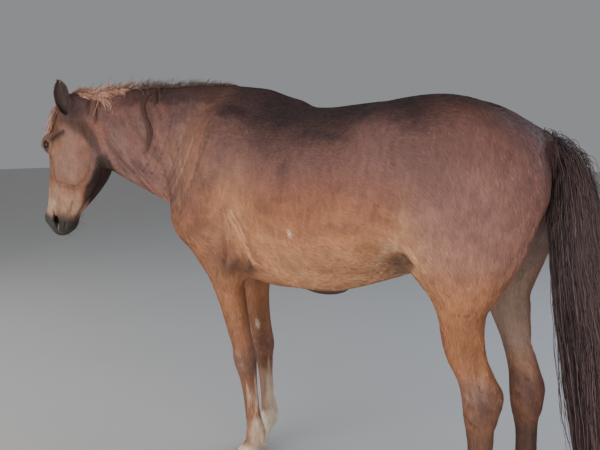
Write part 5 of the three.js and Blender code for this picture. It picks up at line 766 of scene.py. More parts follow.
def roots(rng, V, T, N, UV, density):
    """random places on the skin, so many to the square metre: point, normal, place on the unwrap"""
    F = np.cross(V[T[:, 1]] - V[T[:, 0]], V[T[:, 2]] - V[T[:, 0]]); A = np.linalg.norm(F, axis=1) / 2
    want = A * density; k = np.floor(want + rng.random(len(T))).astype(int); i = np.repeat(np.arange(len(T)), k); u, v = rng.random(len(i)), rng.random(len(i)); m = u + v > 1; u[m], v[m] = 1 - u[m], 1 - v[m]
    B = np.stack([1 - u - v, u, v], 1)[:, :, None]; P = (V[T[i]] * B).sum(1); n = (N[T[i]] * B).sum(1); n /= np.linalg.norm(n, axis=1)[:, None] + 1e-9
    return P, n, (UV[i] * B).sum(1), i


def tufts(rng, P, N, UV, length, width, lift=.0022, wander=.085, spread=.22):
    """short flat blades of three triangles each: two at the root, two at the widest, one at the tip"""
    n = len(P); D = lie(P, N); S = np.cross(N, D); sway = (fbm(P, 7.0, 31) - .5) * .8 + rng.normal(0, wander, n); D = D * np.cos(sway)[:, None] + S * np.sin(sway)[:, None]; S = np.cross(N, D)
    l = length * (1 + rng.normal(0, spread, n).clip(-.5, .6)); w = width * (1 + rng.normal(0, .25, n).clip(-.5, .6)); tip = P + D * l[:, None]
    d = values(SKIN, tip) + SKIN_DEEP; d = np.clip(d, -.006, .006); up = lift * (1 + rng.normal(0, .22, n).clip(-.6, .8)); roll = rng.normal(0, .22, n)
    S = S * np.cos(roll)[:, None] + N * np.sin(roll)[:, None]; tip = tip + N * (up - d)[:, None]; mid = P + D * (l * .45)[:, None] + N * (up * .75 - d * .22)[:, None]; R = P - N * .0006
    V = np.stack([R - S * (w * .30)[:, None], R + S * (w * .30)[:, None], mid - S * (w * .5)[:, None], mid + S * (w * .5)[:, None], tip], 1).reshape(-1, 3)
    b = np.arange(n)[:, None] * 5; T = np.concatenate([b + [0, 1, 3], b + [0, 3, 2], b + [2, 3, 4]], 1).reshape(-1, 3)
    r = .0015; o = np.array([[-r * .6, -r], [r * .6, -r], [-r, 0], [r, 0], [0, r]]); uv = (UV[:, None] + o[None]).reshape(-1, 2)
    hair = np.stack([np.repeat(rng.random(n), 5), np.tile([0, 0, .45, .45, 1.0], n), np.repeat(rng.random(n), 5)], 1)
    return V, T, uv, hair

# ---------------------------------------------------------------- mane, forelock, tail and lashes
def strands(rng, lines, thick, sides=3):
    """lines n x k x 3 to thin closed rods that taper to a point; thick n x k"""
    n, k, _ = lines.shape; Tn = np.gradient(lines, axis=1); Tn /= np.linalg.norm(Tn, axis=2)[..., None] + 1e-9
    ref = rng.normal(0, 1, (n, 1, 3)); U = ref - Tn * (ref * Tn).sum(2)[..., None]; U /= np.linalg.norm(U, axis=2)[..., None] + 1e-9; W = np.cross(Tn, U)
    rings = [lines[:, :-1] + (U[:, :-1] * math.cos(a) + W[:, :-1] * math.sin(a)) * thick[:, :-1, None] for a in [2 * math.pi * j / sides for j in range(sides)]]
    R = np.stack(rings, 2); V = np.concatenate([R.reshape(n, -1, 3), lines[:, -1:]], 1); m = (k - 1) * sides + 1; T = []
    for i in range(k - 2):
        for j in range(sides):
            a, b = i * sides + j, i * sides + (j + 1) % sides; T += [[a, b, b + sides], [a, b + sides, a + sides]]
    for j in range(sides): T.append([(k - 2) * sides + j, (k - 2) * sides + (j + 1) % sides, m - 1])
    T.append([0, 2, 1]) if sides == 3 else None
    T = (np.array(T)[None] + np.arange(n)[:, None, None] * m).reshape(-1, 3); s = np.concatenate([np.repeat(np.linspace(0, 1, k)[:-1], sides), [1.0]])
    ang = np.concatenate([np.tile(np.arange(sides) / sides, k - 1), [.5]]); r = rng.random((n, 2)); hair = np.stack([np.repeat(r[:, 0], m), np.tile(s, n), np.repeat(r[:, 1], m)], 1)
    patch = np.stack([(ang - .4) * .0028, (s - .5) * .0030], 1)
    return V.reshape(-1, 3), T, hair, patch, m


def grow(rng, root, first, fall, length, k, clear, curl=.0):
    """hair that leaves the skin along `first`, turns to `fall`, and lies on the body"""
    n = len(root); P = root.copy(); out = [P.copy()]; ds = (length / (k - 1))[:, None]; wob = rng.normal(0, curl, (n, 3)); bend = np.zeros((n, 1))
    for i in range(1, k):
        t = i / (k - 1); w = min(1, t * 2.2); wob = wob * .7 + rng.normal(0, curl, (n, 3)) * .5
        D = first * (1 - w) + fall * w + wob; D /= np.linalg.norm(D, axis=1)[:, None]; P = P + D * ds
        d, g = values_grad(SKIN, P); g /= np.linalg.norm(g, axis=1)[:, None] + 1e-9; need = np.clip(clear * (.4 + .6 * t) - (d + SKIN_DEEP), 0, .03); P = P + g * need[:, None]; out.append(P.copy())
    return np.stack(out, 1)


def on_crest(t, across):
    """points on the top line of the neck: t runs 0 at the poll to 1 at the withers"""
    R = np.array([r[:3] for r in NECK] + [[-1.155, -.236, 1.44]]); S = spline(R[::-1], 8); a = np.interp(t, [0, 1], [1.5, 62]) ; i = np.clip(a, 0, len(S) - 1.001); j = i.astype(int); f = (i - j)[:, None]
    C = S[j] * (1 - f) + S[j + 1] * f; D = S[j + 1] - S[j]; D[:, 2] = 0; D /= np.linalg.norm(D, axis=1)[:, None] + 1e-9; side = np.stack([-D[:, 1], D[:, 0], 0 * D[:, 0]], 1)   # towards the far side where positive
    side = np.where(side[:, 1:2] < 0, -side, side); lo = C + [0, 0, .02]; hi = C + [0, 0, .40]; lo, hi = lo + side * across[:, None], hi + side * across[:, None]
    for _ in range(14):
        m = (lo + hi) / 2; out = values(SKIN, m) + SKIN_DEEP > 0; lo = np.where(out[:, None], lo, m); hi = np.where(out[:, None], m, hi)
    return lo, side, D


LOCKS = ((.690, .33, 15, 1.0), (.700, .13, 8, .8), (.680, .10, 7, 1.1), (.325, .125, 6, .25), (.385, .165, 8, .45), (.41, .10, 7, .5), (.45, .07, 12, .7), (.475, .06, 10, .8), (.50, .05, 8, .6))   # place on the crest, length, hairs, sway


def mane_hair():
    rng = np.random.default_rng(41); n = 2500; t = rng.random(n) ** .9; a = rng.normal(.004, .010, n); root, side, D = on_crest(t, a)
    far = a > -.004; l = np.interp(t, [0, .06, .14, .4, .8, 1], [.05, .07, .11, .15, .13, .06]) * (1 + rng.normal(0, .25, n)).clip(.4, 1.6)
    fuzz = rng.random(n) < np.interp(t, [0, .35, .65, 1], [.50, .50, .34, .12]); l = np.where(fuzz, l * .38, l)
    first = np.where(far[:, None], side * .75, -side * .25) + [0, 0, .75] + D * rng.normal(.10, .35, n)[:, None]
    fall = side * np.where(fuzz, .35, .55)[:, None] + np.array([0, 0, -1.0]) * np.where(fuzz, .05, 1.0)[:, None] + D * rng.normal(.18, .22, n)[:, None] + np.where(fuzz[:, None], [0, 0, .35], [0, 0, 0])
    lines = grow(rng, root - [0, 0, .002], first, fall, l, 8, .0035 + .009 * rng.random(n), .16)
    # hair that falls on the near side: loose pale strands behind the ear, and a few thin locks
    m, nc = 760, 44; cl = rng.integers(0, nc, m); tc = .150 + .34 * rng.random(nc) ** 1.15; lc = np.interp(tc, [.1, .2, .32, .40, .55], [.045, .080, .100, .075, .035]) * (1 + rng.normal(0, .25, nc)).clip(.5, 1.6); bc, dc, ph = .50 + .80 * rng.random(nc), -.25 - .50 * rng.random(nc), 2 * np.pi * rng.random(nc)
    t2 = (tc[cl] + rng.normal(0, .0065, m)).clip(.142, .56); r2, sd2, dd2 = on_crest(t2, rng.normal(-.008, .005, m)); l2 = lc[cl] * (1 + rng.normal(0, .14, m)).clip(.6, 1.4)
    f2 = -sd2 * .40 + [0, 0, .30] + dd2 * (bc[cl] + rng.normal(0, .10, m))[:, None]; e2 = -sd2 * .30 + np.array([0, 0, 1.0]) * dc[cl][:, None] + dd2 * (bc[cl] + rng.normal(0, .12, m))[:, None]; near_hair = grow(rng, r2 - [0, 0, .002], f2, e2, l2, 8, .0025 + .006 * rng.random(m), .05)
    s = np.linspace(0, 1, 8)[None]; near_hair = near_hair + dd2[:, None] * (np.sin(ph[cl][:, None] + s * 7.5) * .015 * s)[..., None]; M = np.stack([near_hair[cl == j].mean(0) if (cl == j).any() else near_hair[0] for j in range(nc)]); w = (.45 * s * s)[..., None]; near_hair = near_hair * (1 - w) + M[cl] * w
    locks = []
    for t0, l0, cnt, sway in LOCKS:
        c = np.full(cnt, t0) + rng.normal(0, .0050, cnt); r, sd, dd = on_crest(c, np.full(cnt, -.012) + rng.normal(0, .003, cnt)); out = [r]; P = r.copy(); k = 14 if l0 > .1 else 9
        for i in range(1, k):
            s = i / (k - 1); W = -sd * max(.9 - 2 * s, .0) + np.array([0, 0, -1.0]) * min(1, .1 + 2 * s) + dd * sway * (-.52 * math.sin(s * 7.3 + .5) - .03) + rng.normal(0, .05, (cnt, 3)); W /= np.linalg.norm(W, axis=1)[:, None]
            P = P + W * (l0 / (k - 1)) * (1 + rng.normal(0, .03, (cnt, 1))); d, g = values_grad(SKIN, P); g /= np.linalg.norm(g, axis=1)[:, None] + 1e-9; P = P + g * (np.clip(.0045 - (d + SKIN_DEEP), -.012, .03))[:, None]; out.append(P.copy())
        locks.append(np.stack(out, 1))
    sets = []
    for ln, tk, tt in [(lines, .00085, t), (near_hair, .00072, t2 * .5)] + [(q, .00092, np.full(len(q), 2.0)) for q in locks]:
        k = ln.shape[1]; th = tk * (1 + rng.normal(0, .2, (len(ln), 1))).clip(.5, 1.6) * np.interp(np.linspace(0, 1, k), [0, .15, .7, 1], [.8, 1, .8, .25])[None]; V, T, hair, patch, m = strands(rng, ln, th)
        u = np.interp(tt, [0, 1, 2], [.03, .97, .5]); uv = np.stack([u, .05 + .9 * rng.random(len(ln))], 1); sets.append((V, T, hair, (np.repeat(uv, m, 0) + np.tile(patch, (len(ln), 1))), np.repeat(tt, m)))
    return join(sets)


def join(sets):
    off = 0; Ts = []
    for s in sets: Ts.append(s[1] + off); off += len(s[0])
    return [np.concatenate([s[0] for s in sets]), np.concatenate(Ts)] + [np.concatenate([s[i] for s in sets]) for i in range(2, len(sets[0]))]


def forelock_hair():
    rng = np.random.default_rng(43); n = 330; a = rng.normal(0, .020, n); x0 = -.02 + .045 * rng.random(n); root = np.stack([x0, a, np.full(n, .06)], 1)
    lo = from_head(np.stack([x0, a, np.full(n, -.12)], 1)); hi = from_head(np.stack([x0, a, np.full(n, .06)], 1))
    for _ in range(14):
        m = (lo + hi) / 2; out = values(SKIN, m) + SKIN_DEEP > 0; lo = np.where(out[:, None], lo, m); hi = np.where(out[:, None], m, hi)
    first = np.stack([rng.normal(.35, .2, n), a * 8 + rng.normal(0, .2, n), np.full(n, .75)], 1) @ MH; fall = np.stack([np.full(n, 1.0), a * 5 + rng.normal(.10, .16, n), np.full(n, -.02)], 1) @ MH; l = .13 * (1 + rng.normal(0, .28, n)).clip(.35, 1.5)
    ln = grow(rng, lo, first, fall, l, 9, .003 + .008 * rng.random(n), .12); ln = ln[ln[..., 1].min(1) > -.372]; n = len(ln); th = .0010 * (1 + rng.normal(0, .2, (n, 1))).clip(.5, 1.6) * np.interp(np.linspace(0, 1, 9), [0, .15, .7, 1], [.8, 1, .8, .25])[None]
    V, T, hair, patch, m = strands(rng, ln, th); uv = np.stack([.05 + .9 * rng.random(n), .05 + .9 * rng.random(n)], 1); return V, T, hair, np.repeat(uv, m, 0) + np.tile(patch, (n, 1)), np.repeat(np.full(n, .1), m)


def tail_at(tube, s):
    """centre, two half axes and the two sizes of the tail at shares s of its length"""
    C = tube.C; d = np.concatenate([[0], np.cumsum(np.linalg.norm(np.diff(C, axis=0), axis=1))]); d /= d[-1]; f = lambda A: np.stack([np.interp(s, d, A[:, k]) for k in range(A.shape[1])], -1)
    return f(C), f(tube.U), f(tube.V), f(tube.r)


def tail_hair(seed, n):
    rng = np.random.default_rng(seed); tube = Tube(TAIL, [1, 0, 0], 4); k = 15; phi = 2 * np.pi * rng.random(n); rho = np.sqrt(rng.random(n)) ** .8; rho = np.where(rng.random(n) < .45, .82 + .18 * rng.random(n), rho)
    s0 = .02 + .30 * rng.random(n) ** 1.4; s1 = np.minimum(1.0, .70 + .32 * rng.random(n) ** .8); short = rng.random(n) < .10; s1 = np.where(short, s0 + .12 + .2 * rng.random(n), s1)
    w1, w2 = rng.normal(0, 1, n), rng.normal(0, 1, n); ph, q = 2 * np.pi * rng.random(n), 3 + 5 * rng.random(n); u = np.linspace(0, 1, k)[None]; s = s0[:, None] + (s1 - s0)[:, None] * u
    C, U, W, R = tail_at(tube, s); grow_r = np.interp(u, [0, .12, 1], [.35, 1.0, 1.0]) * rho[:, None]; clump = .5 + .5 * np.sin(phi * 7.0)[:, None]
    ang = phi[:, None] + .20 * w1[:, None] * u + .05 * np.sin(q[:, None] * s * 6 + ph[:, None]) + .16 * u * np.sin(phi * 5.0 + 1.0)[:, None]
    rr = grow_r * (1 + .06 * np.sin(q[:, None] * s * 5 + ph[:, None] * 2) * u) * (1 - .10 * clump * u); loose = (rng.random(n) < .05)[:, None]; rr = np.where(loose, rr * (1 + .35 * u * np.sin(u * 4 + ph[:, None])), rr)
    P = C + U * (R[..., :1] * (rr * np.cos(ang))[..., None]) + W * (R[..., 1:2] * (rr * np.sin(ang))[..., None])
    th = .00098 * (1 + rng.normal(0, .25, (n, 1))).clip(.4, 1.8) * np.interp(u, [0, .1, .75, 1], [.8, 1, .85, .25]); V, T, hair, patch, m = strands(rng, P, th)
    uv = np.stack([.02 + .96 * phi / (2 * np.pi), .02 + .96 * (s0 - .02) / .30], 1); hgt = np.repeat(np.where(np.cos(phi) > 0, rho, -rho), m)
    # loose short hair round the dock
    n2 = 240; ph2 = 2 * np.pi * rng.random(n2); s2 = .01 + .22 * rng.random(n2); C2, U2, W2, R2 = tail_at(tube, s2); O = U2 * np.cos(ph2)[:, None] + W2 * np.sin(ph2)[:, None]; root = C2 + U2 * (R2[:, :1] * np.cos(ph2)[:, None]) + W2 * (R2[:, 1:] * np.sin(ph2)[:, None])
    a = np.linspace(0, 1, 7)[None, :, None]; l2 = (.035 + .045 * rng.random(n2))[:, None, None]; dn = np.stack([.15 + 0 * ph2, 0 * ph2, -1 + 0 * ph2], 1)[:, None]; ln = root[:, None] - O[:, None] * .012 + l2 * (O[:, None] * (a * .85 - a * a * .45) + dn * a * a * .8 + rng.normal(0, .10, (n2, 1, 3)) * a)
    B = strands(rng, ln, .0009 * np.interp(np.linspace(0, 1, 7), [0, .7, 1], [1, .8, .25])[None] + np.zeros((n2, 1))); uv2 = np.stack([.02 + .96 * ph2 / (2 * np.pi), .02 + .96 * s2 / .30], 1)
    return join([(V, T, hair, np.repeat(uv, m, 0) + np.tile(patch, (n, 1)), hgt), (B[0], B[1], B[2], np.repeat(uv2, B[4], 0) + np.tile(B[3], (n2, 1)), np.repeat(np.full(n2, .9), B[4]))])


def lashes():
    rng = np.random.default_rng(53); sets = []
    for sd in (1, -1):
        n = 34; t = np.linspace(-.85, .75, n) + rng.normal(0, .02, n); L = np.stack([EYE_AT[0] + .0180 * t, np.full(n, EYE_AT[1] + .0175) - .004 * t * t, EYE_AT[2] + .0095 * np.sqrt(1 - t * t * .8) + .006 * t + .001], 1); out = np.stack([t * .35 + rng.normal(0, .12, n), np.full(n, 1.0), np.full(n, .35) + rng.normal(0, .12, n)], 1); dn = np.stack([0 * t, 0 * t, -.9 + 0 * t], 1)
        a = np.linspace(0, 1, 5)[None, :, None]; ln = L[:, None] + .013 * (out[:, None] * a + dn[:, None] * a * a * .45); ln[..., 1] *= sd; sets.append(from_head(ln.reshape(-1, 3)).reshape(n, 5, 3))
        n = 46; q = np.stack([.43 + .13 * rng.random(n), .048 * rng.random(n) ** .5, -.118 - .05 * rng.random(n)], 1); sets.append(whisker(rng, q, sd, .024)); q = np.stack([.47 + .09 * rng.random(n), .052 + 0 * rng.random(n), -.055 - .05 * rng.random(n)], 1); sets.append(whisker(rng, q, sd, .012))
    return sets


def whisker(rng, Q, sd, length):
    n = len(Q); Q = Q * [1, sd, 1]; c = np.stack([Q[:, 0] - .0, 0 * Q[:, 0], np.full(n, -.088)], 1); O = Q - c; O /= np.linalg.norm(O, axis=1)[:, None] + 1e-9; O[:, 0] += .35; O /= np.linalg.norm(O, axis=1)[:, None]; lo, hi = from_head(c), from_head(c + O * .12)
    for _ in range(13):
        m = (lo + hi) / 2; out = values(SKIN, m) + SKIN_DEEP > 0; lo = np.where(out[:, None], lo, m); hi = np.where(out[:, None], m, hi)
    W = (lo + 0); D = (O @ MH); a = np.linspace(0, 1, 5)[None, :, None]; l = (length * (.5 + rng.random(n)))[:, None, None]; return W[:, None] + l * (D[:, None] * a + np.array([0, 0, -.25]) * a * a + rng.normal(0, .08, (n, 1, 3)) * a)

# ---------------------------------------------------------------- finishes
def tree(name):
    m = bpy.data.materials.new(name); m.use_nodes = True; nt = m.node_tree; nt.nodes.clear(); out = nt.nodes.new("ShaderNodeOutputMaterial"); b = nt.nodes.new("ShaderNodeBsdfPrincipled")
    nt.links.new(b.outputs[0], out.inputs[0]); return m, nt, b


def weights(nt, name):
    n = nt.nodes.new("ShaderNodeAttribute"); n.attribute_type = "GEOMETRY"; n.attribute_name = name; s = nt.nodes.new("ShaderNodeSeparateXYZ"); nt.links.new(n.outputs["Vector"], s.inputs[0]); return s.outputs


def put(nt, socket, v):
    if isinstance(v, (int, float)): socket.default_value = v
    elif isinstance(v, tuple): socket.default_value = (*v, 1.0) if len(v) == 3 and len(socket.default_value) == 4 else v
    else: nt.links.new(v, socket)


def calc(nt, op, a, b=0.0, clamp=False):
    n = nt.nodes.new("ShaderNodeMath"); n.operation = op; n.use_clamp = clamp; put(nt, n.inputs[0], a); put(nt, n.inputs[1], b); return n.outputs[0]


def blend(nt, f, a, b):
    n = nt.nodes.new("ShaderNodeMix"); n.data_type = "RGBA"; put(nt, n.inputs[0], f); put(nt, n.inputs[6], a); put(nt, n.inputs[7], b); return n.outputs[2]


def scaled(nt, c, f):
    n = nt.nodes.new("ShaderNodeVectorMath"); n.operation = "SCALE"; put(nt, n.inputs[0], c); put(nt, n.inputs["Scale"], f); return n.outputs[0]


def noise(nt, scale, detail=3.0, stretch=None, rough=.55):
    t = nt.nodes.new("ShaderNodeTexCoord"); v = t.outputs["Object"]
    if stretch: m = nt.nodes.new("ShaderNodeMapping"); m.inputs["Scale"].default_value = stretch; nt.links.new(v, m.inputs[0]); v = m.outputs[0]
    n = nt.nodes.new("ShaderNodeTexNoise"); n.inputs["Scale"].default_value = scale; n.inputs["Detail"].default_value = detail; n.inputs["Roughness"].default_value = rough; nt.links.new(v, n.inputs["Vector"]); return n.outputs["Fac"]


def bump(nt, b, height, strength, distance):
    n = nt.nodes.new("ShaderNodeBump"); n.inputs["Strength"].default_value = strength; n.inputs["Distance"].default_value = distance; nt.links.new(height, n.inputs["Height"]); nt.links.new(n.outputs[0], b.inputs["Normal"])


# the darkest brown paints shade in folds and hollows and is also the sheath's own dark skin; the light sand paints
# highlights; the muzzle's grey and the cream also serve for painted shade and painted highlights in places
CHESTNUT, WARM, DARK, MAUVE = (.235, .090, .053), (.395, .165, .076), (.040, .025, .026), (.245, .125, .115)
SHANK, MUZZLE_GREY_AND_SHADE, CREAM_AND_HIGHLIGHT, WHITE, SHADE_AND_DARK_SKIN, PALE = (.165, .078, .052), (.048, .045, .042), (.60, .43, .31), (.74, .64, .51), (.034, .020, .018), (.34, .29, .26)
PAINTED_HIGHLIGHT = (.62, .33, .175)


def scaled_colour(c, f): return tuple(f * v for v in c)


def coat_colour(nt, hair):
    a, b, c = weights(nt, "m1"), weights(nt, "m2"), weights(nt, "m3"); n1 = noise(nt, 11.0, 4.0); n2 = noise(nt, 60.0, 4.0, (1.0, 1.0, .35), .62); n3 = noise(nt, 150.0, 2.0, (1.0, 1.0, .30))
    col = blend(nt, calc(nt, "MULTIPLY", a[0], calc(nt, "ADD", .70, calc(nt, "MULTIPLY", n1, .5)), True), CHESTNUT, WARM); col = blend(nt, a[2], col, MAUVE); col = blend(nt, c[0], col, SHANK)
    # the dark weight includes painted shade on the back; m3's last weight lays painted highlights; m3's middle weight
    # above one half lays painted shade and the sheath's dark skin, below one half the pale grey
    col = blend(nt, calc(nt, "MULTIPLY", a[1], calc(nt, "ADD", .62, calc(nt, "MULTIPLY", n1, .65)), True), col, DARK); col = blend(nt, c[2], col, PAINTED_HIGHLIGHT); col = blend(nt, b[1], col, CREAM_AND_HIGHLIGHT); col = blend(nt, b[2], col, WHITE); col = blend(nt, b[0], col, MUZZLE_GREY_AND_SHADE)
    shade = calc(nt, "MULTIPLY", calc(nt, "SUBTRACT", c[1], .5), 2.0, True); pale = calc(nt, "MULTIPLY", calc(nt, "SUBTRACT", .5, c[1]), 2.0, True); col = blend(nt, shade, col, SHADE_AND_DARK_SKIN); col = blend(nt, pale, col, PALE)
    v = calc(nt, "MULTIPLY", calc(nt, "ADD", .72, calc(nt, "MULTIPLY", n1, .56)), calc(nt, "ADD", .58, calc(nt, "MULTIPLY", n2, .84))); v = calc(nt, "MULTIPLY", v, calc(nt, "ADD", .82, calc(nt, "MULTIPLY", n3, .36)))
    if hair:
        h = weights(nt, "hair"); v = calc(nt, "MULTIPLY", v, calc(nt, "ADD", .90, calc(nt, "MULTIPLY", h[0], .20))); v = calc(nt, "MULTIPLY", v, calc(nt, "ADD", .90, calc(nt, "MULTIPLY", h[1], .18))); warmer = blend(nt, calc(nt, "MULTIPLY", h[2], .22), col, scaled(nt, col, 1.0)); col = warmer
    else: v = calc(nt, "MULTIPLY", v, .86)
    return scaled(nt, col, v)


def coat_material(name, hair):
    m, nt, b = tree(name); nt.links.new(coat_colour(nt, hair), b.inputs["Base Color"]); b.inputs["Roughness"].default_value = .52 if hair else .60; b.inputs["Specular IOR Level"].default_value = .20 if hair else .20
    b.inputs["Sheen Weight"].default_value = .04; b.inputs["Sheen Roughness"].default_value = .45; b.inputs["Sheen Tint"].default_value = (1.0, .80, .66, 1)
    if not hair: bump(nt, b, noise(nt, 240.0, 3.0, (1, 1, .4)), .35, .0012)
    return m


def hair_material(name, dark, mid, light, top=None):
    m, nt, b = tree(name); h = weights(nt, "hair"); w = weights(nt, "m1"); c = blend(nt, calc(nt, "MULTIPLY", calc(nt, "SUBTRACT", h[0], .12), 1.5, True), dark, mid); c = blend(nt, calc(nt, "MULTIPLY", calc(nt, "SUBTRACT", h[2], .62), 2.6, True), c, light)
    if top: c = blend(nt, w[0], c, top); c = blend(nt, w[1], c, scaled_colour(dark, .32))
    n = noise(nt, 35.0, 3.0, (1, 1, .15)); v = calc(nt, "MULTIPLY", calc(nt, "ADD", .78, calc(nt, "MULTIPLY", n, .44)), calc(nt, "ADD", .82, calc(nt, "MULTIPLY", h[1], .30))); nt.links.new(scaled(nt, c, v), b.inputs["Base Color"])
    b.inputs["Roughness"].default_value = .50; b.inputs["Specular IOR Level"].default_value = .30; return m


def horn_material():
    m, nt, b = tree("horn"); w = weights(nt, "m1"); t = nt.nodes.new("ShaderNodeTexCoord"); s = nt.nodes.new("ShaderNodeMapping"); s.inputs["Scale"].default_value = (1, 1, 16); nt.links.new(t.outputs["Object"], s.inputs[0])
    n = nt.nodes.new("ShaderNodeTexNoise"); n.inputs["Scale"].default_value = 16.0; n.inputs["Detail"].default_value = 4.0; nt.links.new(s.outputs[0], n.inputs["Vector"]); g = noise(nt, 34.0, 4.0, (1, 1, .12)); d = noise(nt, 12.0, 4.0)
    c = blend(nt, n.outputs["Fac"], (.34, .27, .20), (.52, .44, .35)); c = blend(nt, w[0], c, (.66, .60, .51)); c = blend(nt, calc(nt, "MULTIPLY", calc(nt, "SUBTRACT", g, .45), 2.2, True), c, (.20, .155, .12)); c = blend(nt, calc(nt, "MULTIPLY", calc(nt, "SUBTRACT", d, .5), 2.4, True), c, (.17, .125, .09)); c = blend(nt, w[1], c, (.11, .085, .065)); c = blend(nt, w[2], c, (.56, .47, .38))
    nt.links.new(c, b.inputs["Base Color"]); r = calc(nt, "ADD", .42, calc(nt, "MULTIPLY", g, .3)); nt.links.new(r, b.inputs["Roughness"]); bump(nt, b, calc(nt, "ADD", calc(nt, "MULTIPLY", n.outputs["Fac"], .8), calc(nt, "MULTIPLY", g, .4)), .55, .0016); return m


def eye_material():
    m, nt, b = tree("eye_wet"); w = weights(nt, "m1"); n = noise(nt, 130.0, 3.0); iris = blend(nt, n, (.014, .007, .004), (.045, .020, .010)); c = blend(nt, w[0], (.030, .018, .014), iris); c = blend(nt, w[1], c, (.004, .005, .008)); nt.links.new(c, b.inputs["Base Color"])
    b.inputs["Roughness"].default_value = .26; b.inputs["Coat Weight"].default_value = .20; b.inputs["Coat Roughness"].default_value = .04; b.inputs["Specular IOR Level"].default_value = .14; return m


def add(name, V, T, mat, attrs=(), uv=None, flat=False):
    me = bpy.data.meshes.new(name); me.vertices.add(len(V)); me.vertices.foreach_set("co", (V + SHIFT).astype(np.float32).ravel()); me.loops.add(T.size); me.loops.foreach_set("vertex_index", T.astype(np.int32).ravel())
    me.polygons.add(len(T)); me.polygons.foreach_set("loop_start", np.arange(0, T.size, 3, dtype=np.int32)); me.update(calc_edges=True)
    if not flat: me.polygons.foreach_set("use_smooth", np.ones(len(T), bool))
    for k, A in dict(attrs).items(): me.attributes.new(k, "FLOAT_VECTOR", "POINT").data.foreach_set("vector", A.astype(np.float32).ravel())
    if uv is not None: me.uv_layers.new(name="OFBake").data.foreach_set("uv", uv[T.ravel()].astype(np.float32).ravel())
    me.materials.append(mat); ob = bpy.data.objects.new(name, me); bpy.context.scene.collection.objects.link(ob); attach(ob, "root"); return ob

# ---------------------------------------------------------------- the horse
N = normals_of(V, T)
if (N * values_grad(SKIN, V[::50])[1].repeat(50, 0)[:len(N)]).sum() < 0: T = T[:, ::-1].copy(); N = -N
ma, mb, mc = tones(V, N)
skin = add("skin", V, T, coat_material("skin", False), dict(m1=ma, m2=mb, m3=mc)); skin.data.uv_layers.new(name="OFBake"); UV = unwrap(skin)
print("unwrapped", round(time.time() - T0, 1))
FLESH = ["trunk", "neck", "head", "ear_left", "ear_right", "leg_front_left", "leg_front_right", "leg_hind_left", "leg_hind_right"]
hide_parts(*FLESH)


def coat():
    rng = np.random.default_rng(5); C = V[T].mean(1); L = to_head(C); hx, hy, hz = L[:, 0], np.abs(L[:, 1]), L[:, 2]; head = smooth(.0, .06, hx) * smooth(-.30, -.24, hz) * (C[:, 0] < -1.0); x, y, z = C.T
    dens = 52000 + head * (118000 + 80000 * smooth(.40, .50, hx)); dens = dens + 60000 * smooth(.72, .52, z) * (1 - head)
    ear = (hx < .055) & (hy > .05) & (x < -1.0) & (z > 1.42); dens = np.where(ear, 210000, dens); dens *= 1 - .85 * ear_in(np.stack([hx, L[:, 1], hz], 1))
    eye = np.linalg.norm((np.stack([hx, hy, hz], 1) - [EYE_AT[0], EYE_AT[1] + .012, EYE_AT[2]]) / [.0215, .022, .0135], axis=1) < 1; A = np.array(NOSTRIL)[:, :3]
    hole = np.min([np.linalg.norm(np.stack([hx, hy, hz], 1) - a, axis=1) for a in np.vstack([A, np.array(NOSTRIL_IN)[:, :3]])], 0) < .0095; dens = np.where(eye | hole, 0, dens)
    P, n, uv, i = roots(rng, V, T, N, UV, dens); P0 = C[i]; hd = head[i] > .5; ln = lengths(P); lh = to_head(P); w = .0017 * (1 - head[i]) + .0011 * head[i]; w = np.where(z[i] < .6, .0013, w); lift = np.where(hd, .0010, .0011); lift = np.where(z[i] < .6, .0013, lift)
    g = leg_shares(P); fet = np.maximum(g["fn"] * smooth(.0, .02, g["fnx"]) + g["ff"] * smooth(.0, .02, g["ffx"]) + g["hn"] * smooth(.0, .02, g["hnx"]) + g["hf"] * smooth(.0, .02, g["hfx"]), 0) * near(P[:, 2], .165, .035)
    ln = ln + .020 * fet; lift = lift + .004 * fet
    left = P[:, 1] < 0; hl = lh[:, 1] > 0
    name = np.where(hd, np.where(hl, 0, 1), np.where(P[:, 2] < .70, np.where(P[:, 0] < .1, 2, 3), np.where(P[:, 0] < -.52, np.where(left, 4, 5), np.where(P[:, 0] < .12, np.where(left, 6, 7), np.where(left, 8, 9)))))
    mat = coat_material("coat", True); labels = ["coat_head_left", "coat_head_right", "coat_legs_front", "coat_legs_hind", "coat_neck_left", "coat_neck_right", "coat_fore_left", "coat_fore_right", "coat_rear_left", "coat_rear_right"]; total = 0
    for k, lab in enumerate(labels):
        m = name == k
        bv, bt, buv, hair = tufts(rng, P[m], n[m], uv[m], ln[m], w[m], lift[m]); a, b, c = tones(P[m], n[m]); r = lambda q: np.repeat(q, 5, 0)
        assert len(bt) < 199000, (lab, len(bt)); total += len(bt); add(lab, bv, bt, mat, dict(m1=r(a), m2=r(b), m3=r(c), hair=hair), buv)
    print("coat triangles", total, round(time.time() - T0, 1))


